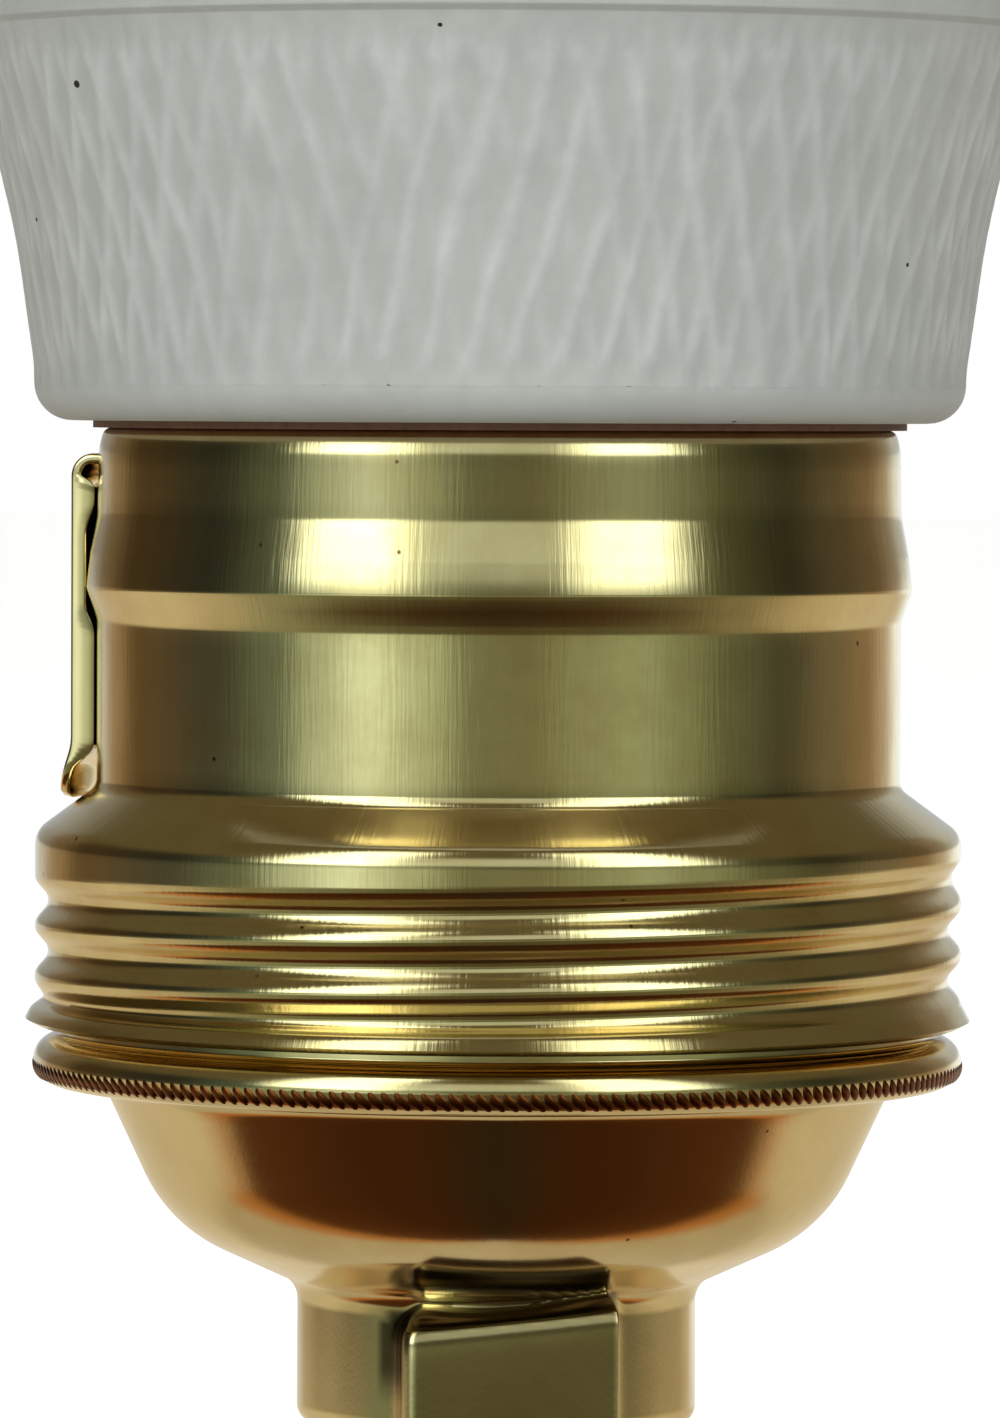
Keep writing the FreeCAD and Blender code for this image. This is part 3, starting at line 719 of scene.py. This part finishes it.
class MakeShell(bpy.types.Operator):
    """Make the drawn brass shell with its raised band and rolled thread, and its lock leaf"""

    bl_idname = "lamp_holder.shell"
    bl_label = "Shell"

    def execute(self, context):
        settings = context.scene.lamp_holder_brass
        outer = [(20.0, 17.2, 0), (19.6, 17.95, 0.3), (19.6, 25.05, 1.1), (17.0, 26.95, 0.7),
                 (17.0, 34.0, 1.2), (17.46, 35.35, 0.6), (17.30, 36.8, 2.5),
                 (17.0, 38.4, 2.0), (16.93, 41.35, 2.2), (16.7, 42.1, 0.4),
                 (14.7, 42.1, 0)]
        wall = 0.5
        section = outer + offset_section(outer, wall)[::-1]
        points = rounded(section, lambda z: 0.16 if 17 < z < 25.2 else 0.8)

        def rolled(radius, height):
            return between(height, 17.5, 18.1, 24.4, 25.2)

        shell = turned_piece("brass_shell", points, 416, ("rolled", rolled))
        start = -225.0 / 360.0
        shaped_by(shell, rolled_thread_tree(), pitch=settings.thread_pitch,
                  depth=settings.thread_depth, height_on_x=18.93 * MM,
                  root_half_width=0.08 * MM, mouth_half_width=0.98 * MM, start_turn=start,
                  end_turn=start + 2.75, fade=0.2, material=polished_brass())
        cut_leaf_slot(shell)
        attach(shell, "shell")
        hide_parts("outer_shell")

        leaf = leaf_piece("lock_leaf_spring")
        leaf.data.materials.append(spring_brass())
        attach(leaf, "leaf")
        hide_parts("lock_leaf")
        return {"FINISHED"}


LEAF_TURN = math.radians(167.0)


def cut_leaf_slot(shell):
    """Cuts the slot that the lock leaf comes out of, under the shell's lip."""
    low, high = (16.0, -3.62, 40.43), (18.2, 3.62, 41.12)
    corners = [Vector((x, y, z)) * MM for x in (low[0], high[0]) for y in (low[1], high[1])
               for z in (low[2], high[2])]
    turn = Matrix.Rotation(LEAF_TURN, 3, "Z")
    faces = [(0, 1, 3, 2), (4, 6, 7, 5), (0, 4, 5, 1), (2, 3, 7, 6), (0, 2, 6, 4),
             (1, 5, 7, 3)]
    cutter = new_piece("slot_cutter", [turn @ c for c in corners], faces)
    modifier = shell.modifiers.new("slot", "BOOLEAN")
    modifier.operation = "DIFFERENCE"
    modifier.solver = "EXACT"
    modifier.object = cutter
    graph = bpy.context.evaluated_depsgraph_get()
    mesh = bpy.data.meshes.new_from_object(shell.evaluated_get(graph), depsgraph=graph)
    shell.modifiers.clear()
    shell.data = mesh
    bpy.data.objects.remove(cutter)


def leaf_piece(name):
    """A spring strip bent out of its slot, down over the band and out to a rounded toe."""
    centre = rounded([(16.60, 40.775, 0), (17.725, 40.775, 0.75), (17.725, 28.6, 2.5),
                      (18.42, 26.40, 0)], 0.25, closed=False)
    along = np.gradient(centre, axis=0)
    along /= np.linalg.norm(along, axis=1)[:, None]
    side = np.stack([-along[:, 1], along[:, 0]], 1)
    travelled = np.concatenate([[0], np.cumsum(np.linalg.norm(np.diff(centre, axis=0),
                                                              axis=1))])
    left = travelled[-1] - travelled
    toe_round, full_half = 1.6, 3.5
    half_width = np.full(len(centre), full_half)
    near = left < toe_round
    half_width[near] -= toe_round - np.sqrt(
        np.maximum(toe_round ** 2 - (toe_round - left[near]) ** 2, 0.0))
    corner, half_wall = 0.12, 0.22
    around = []
    for middle_u, middle_v, first in ((1, 1, 0), (-1, 1, 90), (-1, -1, 180), (1, -1, 270)):
        for k in range(4):
            angle = math.radians(first + 30 * k)
            around.append((middle_u, middle_v, math.cos(angle), math.sin(angle)))
    vertices = []
    for (r, z), (sr, sz), half in zip(centre, side, half_width):
        for mu, mv, cu, cv in around:
            across = mu * (half - corner) + corner * cu
            lift = mv * (half_wall - corner) + corner * cv
            # the strip follows the shell's round a little, so its edges stand back
            crown = 0.10 * (across / full_half) ** 2
            away = -lift - crown * abs(sr)
            if mv * abs(sr) > 0.5:
                away -= flange_depth(z) * abs(across / full_half) ** 3
            vertices.append(((r + sr * away), across, z + sz * away))
    turn = np.array([[math.cos(LEAF_TURN), -math.sin(LEAF_TURN), 0],
                     [math.sin(LEAF_TURN), math.cos(LEAF_TURN), 0], [0, 0, 1]])
    placed = (turn @ (np.array(vertices) * MM).T).T
    return lofted_piece(name, placed, len(centre), len(around))


def lofted_piece(name, vertices, rings, sides):
    """A closed piece through rings of points, each ring with that many sides."""
    faces = []
    for i in range(rings - 1):
        for k in range(sides):
            n = (k + 1) % sides
            faces.append((i * sides + k, i * sides + n, (i + 1) * sides + n,
                          (i + 1) * sides + k))
    faces.append(tuple(range(sides))[::-1])
    faces.append(tuple((rings - 1) * sides + k for k in range(sides)))
    piece = new_piece(name, vertices, faces)
    if signed_volume(piece.data) < 0:
        piece.data.flip_normals()
    return piece


def flange_depth(height):
    """How far the leaf's long edges are folded in towards the shell, less over its band."""
    over_band = between(height, 33.4, 34.6, 37.6, 39.0)
    ends = between(height, 27.6, 28.8, 39.6, 40.2)
    return float((0.66 - 0.40 * over_band) * ends)


def signed_volume(mesh):
    mesh.calc_loop_triangles()
    corners = np.array([v.co for v in mesh.vertices])
    triangles = np.array([t.vertices for t in mesh.loop_triangles])
    a, b, c = (corners[triangles[:, i]] for i in range(3))
    return float(np.einsum("ij,ij->i", a, np.cross(b, c)).sum() / 6.0)


class MakeCap(bpy.types.Operator):
    """Make the spun brass cap with its dome, grip bead, pressed pocket and male thread"""

    bl_idname = "lamp_holder.cap"
    bl_label = "Cap"

    def execute(self, context):
        settings = context.scene.lamp_holder_brass
        outer = [(6.4, 0.0, 0), (8.45, 0.0, 0.8), (8.45, 5.97, 1.1), (13.93, 8.47, 6.5),
                 (16.75, 14.5, 1.0), (19.66, 14.45, 0.95), (19.66, 16.45, 1.0),
                 (18.45, 16.45, 0.25), (18.45, 24.0, 0)]
        wall = 0.6
        section = outer + offset_section(outer, wall)[::-1]
        points = rounded(section, lambda z: 0.14 if z < 6.6 else (0.40 if z > 16.6 else 0.5))
        centre = math.radians(-90 + POCKET_TURN)
        dense = np.arange(-46, 46, 0.6)
        coarse = np.arange(46, 314, 2.0)
        angles = centre + np.radians(np.concatenate([dense, coarse]))

        def rolled(radius, height):
            return between(height, 16.9, 17.4, 23.4, 23.9)

        cap = turned_piece("brass_cap", points, angles, ("rolled", rolled), press_pocket)
        # paints dark reflections round the pocket into the cap's colour
        paint_pocket_reflections(cap)
        start = -135.0 / 360.0
        shaped_by(cap, rolled_thread_tree(), pitch=settings.thread_pitch, depth=-0.38 * MM,
                  height_on_x=(18.93 + 1.07) * MM, root_half_width=0.12 * MM,
                  mouth_half_width=0.44 * MM, start_turn=start, end_turn=start + 2.0,
                  fade=0.1, material=spun_brass())
        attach(cap, "holder_cap")
        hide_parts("cap")

        teeth = tooth_piece("cap_rim_serrations")
        # the teeth carry a painted dark red reflection in their colour
        shaped_by(teeth, serration_tree(), count=settings.serrations,
                  material=red_reflection_brass())
        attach(teeth, "holder_cap")
        return {"FINISHED"}


POCKET_TURN = 3.7
POCKET_HALF = 4.55
POCKET_TOP = 5.4
POCKET_RISE = 0.1
NECK_RADIUS = 8.45


def press_pocket(radius, height, angle):
    """Presses the nipple's flat-faced lug pocket out of the front of the neck."""
    from_centre = angle - math.radians(-90 + POCKET_TURN)
    from_centre = (from_centre + math.pi) % FULL_TURN - math.pi
    half, face, soft, slope = POCKET_HALF, NECK_RADIUS + 0.95, 0.24, 2.2
    front = np.abs(from_centre) < math.radians(60)
    turned = np.where(front, from_centre, 0.0)
    face_hit = face / np.cos(turned)
    side_hit = half / np.maximum(np.abs(np.sin(turned)), 1e-3)
    # the left upright is a soft bend, the right one a crisp bevel
    bend = np.where(turned < 0, 0.55, 0.12)
    outline = -bend * np.logaddexp(-face_hit / bend, -side_hit / bend)
    across = np.clip(face * np.tan(turned), -half, half)
    top = POCKET_TOP + POCKET_RISE * across
    over = soft * np.logaddexp(0.0, (height - top) / soft)
    outline = outline - slope * over
    pressed = soft * np.logaddexp(radius / soft, outline / soft)
    on_neck = front & (radius > NECK_RADIUS - 0.3) & (radius < face + 1.2) & (height < 6.6)
    foot = smooth_step(-0.1, 0.35, height)
    return np.where(on_neck, radius + (pressed - radius) * foot, radius), height


def paint_pocket_reflections(cap):
    """Marks where dark reflections are painted round the pocket, 0 to 1 at each point."""
    place = np.empty(len(cap.data.vertices) * 3)
    cap.data.vertices.foreach_get("co", place)
    place = place.reshape(-1, 3) / MM
    turn = math.radians(POCKET_TURN)
    across = place[:, 0] * math.cos(turn) + place[:, 1] * math.sin(turn)
    facing = -(place[:, 1] * math.cos(turn) - place[:, 0] * math.sin(turn))
    height = place[:, 2]
    above = height - (POCKET_TOP + POCKET_RISE * np.clip(across, -POCKET_HALF, POCKET_HALF))
    # each mask paints a dark reflection: along the pocket's top edge, as two bars in the fillet
    # above it, across its face and in its left bend
    wide = between(across, -5.3, -4.7, 4.3, 4.75)
    lip = wide * between(above, -0.5, -0.15, 0.40, 0.62)
    bars = between(height, 6.35, 6.5, 6.75, 6.9) + between(height, 7.05, 7.15, 7.5, 7.65)
    bars = bars * between(across, -4.6, -3.9, 3.4, 4.4)
    flat = between(across, -4.3, -3.9, 4.2, 4.5) * (1 - smooth_step(-0.5, -0.2, above))
    flank = between(across, -5.5, -5.1, -4.55, -4.3) * smooth_step(1.2, 3.2, height)
    flank = flank * (1 - smooth_step(-0.1, 0.2, above))
    painted_reflection = np.maximum.reduce([lip * 0.85, bars * 0.8, flat * 0.34, flank * 0.8])
    on_front = (facing > 6.5) & (height < 8.0)
    painted_reflection = np.where(on_front, painted_reflection, 0.0)
    layer = cap.data.attributes.new("painted_reflection", "FLOAT", "POINT")
    layer.data.foreach_set("value", np.clip(painted_reflection, 0.0, 1.0))


def tooth_piece(name):
    """One small coined tooth on the front of the grip bead, leaning over."""
    vertices = []
    rings, sides = 7, 8
    lean = math.radians(32)
    for i in range(rings):
        t = i / (rings - 1)
        swell = math.sin(math.pi * min(max(t, 0.04), 0.96)) ** 0.5
        tilt = math.radians(6 - 44 * t)
        middle = np.array([18.66 + math.cos(tilt) * 1.0, 15.35 + math.sin(tilt) * 1.0])
        slide = (t - 0.5) * 0.7 * math.tan(lean)
        for k in range(sides):
            angle = FULL_TURN * k / sides
            out = 0.05 * swell * math.cos(angle)
            side = 0.245 * swell * math.sin(angle)
            vertices.append((middle[0] + out * math.cos(tilt), slide + side,
                             middle[1] + out * math.sin(tilt)))
    return lofted_piece(name, np.array(vertices) * MM, rings, sides)


class MakeLampSleeve(bpy.types.Operator):
    """Make the rolled brass sleeve that the lamp screws into"""

    bl_idname = "lamp_holder.lamp_sleeve"
    bl_label = "Lamp Sleeve"

    def execute(self, context):
        settings = context.scene.lamp_holder_brass
        section = [(9.3, 33.0, 0), (13.5, 33.0, 0.6), (13.5, 38.6, 0.2), (13.7, 38.9, 0.2),
                   (13.7, 54.0, 0.12), (13.3, 54.0, 0.12), (13.3, 38.9, 0.2),
                   (13.1, 38.6, 0.2), (13.1, 33.5, 0.2), (9.3, 33.5, 0)]
        points = rounded(section, lambda z: 0.28 if 35 < z < 54 else 0.6)

        def rolled(radius, height):
            return between(height, 39.0, 40.2, 51.6, 53.4)

        sleeve = turned_piece("lamp_thread_sleeve", points, 320, ("rolled", rolled))
        shaped_by(sleeve, bpy.data.node_groups["rolled thread"], pitch=settings.lamp_pitch,
                  depth=settings.lamp_depth, height_on_x=38.2 * MM,
                  root_half_width=0.15 * MM, mouth_half_width=1.7 * MM, start_turn=-20.0,
                  end_turn=20.0, fade=0.2, material=plain_brass())
        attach(sleeve, "insert")
        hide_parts("threaded_sleeve")
        return {"FINISHED"}


class FinishInnerParts(bpy.types.Operator):
    """Give the insert, contacts, terminals, screws, liner and washer their finishes"""

    bl_idname = "lamp_holder.inner_parts"
    bl_label = "Inner Parts"

    def execute(self, context):
        finishes = {
            plain_brass: ("nipple_bush", "centre_contact", "centre_terminal", "shell_terminal",
                          "centre_clamp_plate", "shell_clamp_plate"),
            glazed_material: ("insert_base",),
            steel_material: ("grub_screw", "sleeve_screws", "sleeve_nuts",
                             "shell_contact_screw", "centre_contact_screw",
                             "centre_clamp_screw", "shell_clamp_screw"),
            fibre_material: ("insulating_liner", "ring_washer"),
        }
        for make, nodes in finishes.items():
            material = make()
            for node in nodes:
                dress(node, material)
        return {"FINISHED"}


# ---------------------------------------------------------------- the stage


def set_stops(ramp, stops):
    """Sets a colour ramp from (azimuth in degrees, colour)."""
    elements = ramp.elements
    while len(elements) > 1:
        elements.remove(elements[-1])
    for i, (degrees, colour) in enumerate(stops):
        place = degrees / 360.0 + 0.5
        element = elements[0] if i == 0 else elements.new(place)
        element.position = place
        element.color = opaque(colour)


# what a polished surface sees level with it, by degrees round from the front
ROOM_STOPS = [(-180, (1.0, 1.1, 1.2)), (-160, (0.62, 0.62, 0.60)),
              (-143, (0.34, 0.25, 0.15)), (-125, (0.11, 0.075, 0.036)),
              (-88, (0.05, 0.055, 0.045)), (-66, (0.14, 0.19, 0.14)),
              (-52, (0.55, 0.68, 0.56)), (-37, (0.95, 1.15, 1.02)),
              (-22, (0.56, 0.68, 0.52)), (-7, (0.22, 0.25, 0.16)), (9, (0.21, 0.22, 0.13)),
              (24, (0.32, 0.37, 0.24)), (38, (0.38, 0.46, 0.32)), (54, (0.26, 0.31, 0.20)),
              (70, (0.12, 0.14, 0.085)), (88, (0.065, 0.068, 0.045)),
              (110, (0.16, 0.14, 0.09)), (130, (0.26, 0.19, 0.11)),
              (144, (0.50, 0.42, 0.32)), (158, (1.0, 1.05, 1.05)), (180, (1.0, 1.1, 1.2))]
# what it sees a little below level: white behind it, the dark side of the room in front
LOW_STOPS = [(-180, (0.76, 0.68, 0.54)), (-145, (0.60, 0.53, 0.39)),
             (-112, (0.60, 0.54, 0.39)), (-92, (0.48, 0.43, 0.30)),
             (-70, (0.27, 0.28, 0.18)), (-42, (0.17, 0.18, 0.11)),
             (-20, (0.11, 0.11, 0.06)), (0, (0.085, 0.07, 0.035)), (24, (0.10, 0.095, 0.05)),
             (50, (0.14, 0.13, 0.075)), (78, (0.25, 0.23, 0.14)), (96, (0.46, 0.40, 0.27)),
             (114, (0.60, 0.54, 0.40)), (145, (0.60, 0.53, 0.39)), (180, (0.76, 0.68, 0.54))]
# what it sees steeply below: cream behind, a dark red-brown patch in front
STEEP_STOPS = [(-180, (0.52, 0.47, 0.36)), (-126, (0.47, 0.41, 0.29)),
               (-112, (0.46, 0.19, 0.055)), (-98, (0.08, 0.028, 0.009)),
               (-40, (0.05, 0.017, 0.005)), (0, (0.03, 0.018, 0.008)),
               (40, (0.05, 0.017, 0.005)), (98, (0.08, 0.028, 0.009)),
               (112, (0.46, 0.19, 0.055)), (126, (0.47, 0.41, 0.29)),
               (180, (0.52, 0.47, 0.36))]
OVERHEAD = (0.11, 0.095, 0.05)
# where each of these begins and is full, in degrees of elevation
LOW_BAND, STEEP_BAND, OVERHEAD_BAND = (-3.5, -9.5), (-31, -39), (14, 32)
DUSK_FROM, DUSK_TO, DUSK_LEVEL = -0.4, 1.6, 0.5
IN_FOLDS = (0.55, 0.50, 0.42)
FILL = (0.24, 0.235, 0.23)
# added to the lit paper as the camera sees it
PAPER_GLOW = 0.76
# soft boxes as gloss sees them: azimuth, half width, lowest, highest (degrees) and level
GLOSS_BOXES = [(-42.0, 16.0, 8.0, 66.0, 2.6), (37.0, 16.0, 8.0, 64.0, 2.4),
               (-3.0, 22.0, 10.0, 42.0, 0.48)]
# how far in and out of those edges they fade, in degrees
BOX_SIDE, BOX_FOOT, BOX_HEAD = (9, 7), (2, 3), 8
# directions of light, in degrees of elevation, that reach into folds, and how they fade
FOLD_EDGES = ((-40, -34, False), (-52, -47, True))


def azimuth_share(tree, place):
    """The direction round the Z axis as a share of a turn, 0.5 at the front."""
    part = add(tree, "ShaderNodeSeparateXYZ", (place,)).node.outputs
    ahead = calc(tree, "MULTIPLY", part["Y"], -1.0)
    angle = calc(tree, "ARCTAN2", part["X"], ahead)
    return calc(tree, "MULTIPLY_ADD", angle, 1 / FULL_TURN, 0.5)


def by_azimuth(tree, share, stops):
    ramp = add(tree, "ShaderNodeValToRGB", (share,))
    ramp.node.color_ramp.interpolation = "EASE"
    set_stops(ramp.node.color_ramp, stops)
    return ramp


def build_world(context, tint):
    """Plain studio light: white for the camera, a dim room for gloss, an even fill."""
    world = bpy.data.worlds.new("studio")
    context.scene.world = world
    world.use_nodes = True
    tree = world.node_tree
    tree.nodes.clear()
    look = add(tree, "ShaderNodeTexCoord").node.outputs["Generated"]
    share = azimuth_share(tree, look)
    height = add(tree, "ShaderNodeSeparateXYZ", (look,)).node.outputs["Z"]
    lift = calc(tree, "ARCSINE", height, 0.0)
    # just over the horizon the room is darker than its mirror image in the table
    dusk = add(tree, "ShaderNodeMapRange",
               {"Value": lift, "From Min": math.radians(DUSK_FROM),
                "From Max": math.radians(DUSK_TO), "To Min": 1.0, "To Max": DUSK_LEVEL})
    lit = scaled(tree, by_azimuth(tree, share, ROOM_STOPS), dusk)
    bands = ((*LOW_BAND, by_azimuth(tree, share, LOW_STOPS)),
             (*STEEP_BAND, by_azimuth(tree, share, STEEP_STOPS)),
             (*OVERHEAD_BAND, opaque(OVERHEAD)))
    for start, full, colour in bands:
        low, high = sorted((math.radians(start), math.radians(full)))
        lit = mixed(tree, eased(tree, lift, low, high, full > start), lit, colour)
    for azimuth, half, low, top, level in GLOSS_BOXES:
        aside = calc(tree, "SUBTRACT", share, 0.5 + azimuth / 360)
        aside = calc(tree, "ABSOLUTE", aside, 0.0)
        inner, outer = (half - BOX_SIDE[0]) / 360, (half + BOX_SIDE[1]) / 360
        across = eased(tree, aside, inner, outer, rising=False)
        foot = math.radians(low - BOX_FOOT[0]), math.radians(low + BOX_FOOT[1])
        head = math.radians(top - BOX_HEAD), math.radians(top + BOX_HEAD)
        above, under = eased(tree, lift, *foot), eased(tree, lift, *head, rising=False)
        amount = product(tree, across, above, under, level)
        glow = scaled(tree, tuple(tint), amount)
        lit = add(tree, "ShaderNodeVectorMath", (lit, glow), operation="ADD")
    rays = add(tree, "ShaderNodeLightPath").node.outputs
    # where brass faces brass, a steep look down through two bounces picks up cream paper
    folded = calc(tree, "GREATER_THAN", rays["Glossy Depth"], 1.5)
    for low, high, rising in FOLD_EDGES:
        slanting = eased(tree, lift, math.radians(low), math.radians(high), rising)
        folded = calc(tree, "MULTIPLY", folded, slanting)
    lit = mixed(tree, folded, lit, opaque(IN_FOLDS))
    filled = mixed(tree, rays["Is Glossy Ray"], opaque(FILL), lit)
    shown = mixed(tree, rays["Is Camera Ray"], filled, (1.0, 1.0, 1.0, 1.0))
    light = add(tree, "ShaderNodeBackground", {"Color": shown, "Strength": 1.0})
    add(tree, "ShaderNodeOutputWorld", {"Surface": light})


def floor_material(colour):
    """Matt white paper sweep: white to the camera, with the holder's shadow left on it.

    Gloss looks through it to the world, which holds the paper's mirror image.
    """
    material, tree, shader = new_material("matt paper sweep")
    shader.inputs["Base Color"].default_value = opaque(colour)
    shader.inputs["Roughness"].default_value = 0.9
    open_room = add(tree, "ShaderNodeBsdfTransparent")
    white = add(tree, "ShaderNodeEmission", {"Strength": PAPER_GLOW})
    rays = add(tree, "ShaderNodeLightPath").node.outputs
    lifted = add(tree, "ShaderNodeAddShader", (shader.outputs[0], white))
    seen = add(tree, "ShaderNodeMixShader",
               (rays["Is Camera Ray"], shader.outputs[0], lifted))
    final = add(tree, "ShaderNodeMixShader", (rays["Is Glossy Ray"], seen, open_room))
    for node in [n for n in tree.nodes if n.type == "OUTPUT_MATERIAL"]:
        tree.links.new(final, node.inputs["Surface"])
    return material


class MakeStage(bpy.types.Operator):
    """Make the floor, the two soft boxes, the room light and the camera"""

    bl_idname = "lamp_holder.stage"
    bl_label = "Stage"

    def execute(self, context):
        settings = context.scene.lamp_holder_stage
        context.scene.view_settings.view_transform = "Standard"
        build_world(context, settings.gloss_tint)
        corners = [(-3, -3, 0), (3, -3, 0), (3, 3, 0), (-3, 3, 0)]
        floor = new_piece("paper_floor", corners, [(0, 1, 2, 3)])
        floor.data.materials.append(floor_material(settings.floor))
        width, height, away = 0.47, 0.34, 0.62
        for name, azimuth, level in (("left_soft_box", -39.0, 1.0),
                                     ("right_soft_box", 37.0, 0.85)):
            light = bpy.data.lights.new(name, "AREA")
            light.shape = "RECTANGLE"
            light.size, light.size_y = width, height
            light.color = settings.soft_box
            light.energy = settings.box_level * level * math.pi * width * height
            lamp = bpy.data.objects.new(name, light)
            context.scene.collection.objects.link(lamp)
            rise, turn = math.radians(24), math.radians(azimuth)
            target = Vector((0, 0, 30 * MM))
            way = Vector((math.sin(turn) * math.cos(rise), -math.cos(turn) * math.cos(rise),
                          math.sin(rise)))
            lamp.location = target + way * away
            lamp.rotation_euler = way.to_track_quat("Z", "Y").to_euler()
            lamp.visible_camera = False
            lamp.visible_glossy = False
        add_camera(context, settings)
        return {"FINISHED"}


def add_camera(context, settings):
    """The camera at the front, above the holder's middle and looking slightly down."""
    data = bpy.data.cameras.new("camera")
    data.lens = 222.0
    data.sensor_width = 36.0
    data.clip_start, data.clip_end = 10 * MM, 20.0
    camera = bpy.data.objects.new("camera", data)
    context.scene.collection.objects.link(camera)
    eye = Vector((0.0, -settings.camera_distance, 43.3 * MM))
    target = Vector((0.05 * MM, 0.0, 30.25 * MM))
    roll = math.radians(0.25)
    aim = (eye - target).to_track_quat("Z", "Y").to_matrix()
    camera.matrix_world = Matrix.Translation(eye) @ (
        aim @ Matrix.Rotation(roll, 3, "Z")).to_4x4()
    context.scene.camera = camera


class LampHolderPanel(bpy.types.Panel):
    """Lists the steps that make the lamp holder"""

    bl_idname = "VIEW3D_PT_lamp_holder"
    bl_label = "Lamp Holder"
    bl_space_type = "VIEW_3D"
    bl_region_type = "UI"
    bl_category = "Lamp Holder"

    def draw(self, context):
        for operator in OPERATORS:
            self.layout.operator(operator.bl_idname)
        for group in ("lamp_holder_ring", "lamp_holder_brass", "lamp_holder_stage"):
            settings = getattr(context.scene, group)
            for name in settings.bl_rna.properties.keys():
                if name not in ("rna_type", "name"):
                    self.layout.prop(settings, name)


SETTINGS = {"lamp_holder_ring": GuardRingSettings, "lamp_holder_brass": BrassSettings,
            "lamp_holder_stage": StageSettings}
OPERATORS = (MakeGuardRing, MakeShell, MakeCap, MakeLampSleeve, FinishInnerParts, MakeStage)


def register():
    for group in SETTINGS.values():
        bpy.utils.register_class(group)
    for name, group in SETTINGS.items():
        setattr(bpy.types.Scene, name, bpy.props.PointerProperty(type=group))
    for operator in OPERATORS:
        bpy.utils.register_class(operator)
    bpy.utils.register_class(LampHolderPanel)


def unregister():
    bpy.utils.unregister_class(LampHolderPanel)
    for operator in reversed(OPERATORS):
        bpy.utils.unregister_class(operator)
    for name in SETTINGS:
        delattr(bpy.types.Scene, name)
    for group in reversed(list(SETTINGS.values())):
        bpy.utils.unregister_class(group)


def main():
    register()
    bpy.ops.lamp_holder.guard_ring()
    bpy.ops.lamp_holder.shell()
    bpy.ops.lamp_holder.cap()
    bpy.ops.lamp_holder.lamp_sleeve()
    bpy.ops.lamp_holder.inner_parts()
    bpy.ops.lamp_holder.stage()


if __name__ == "__main__":
    main()
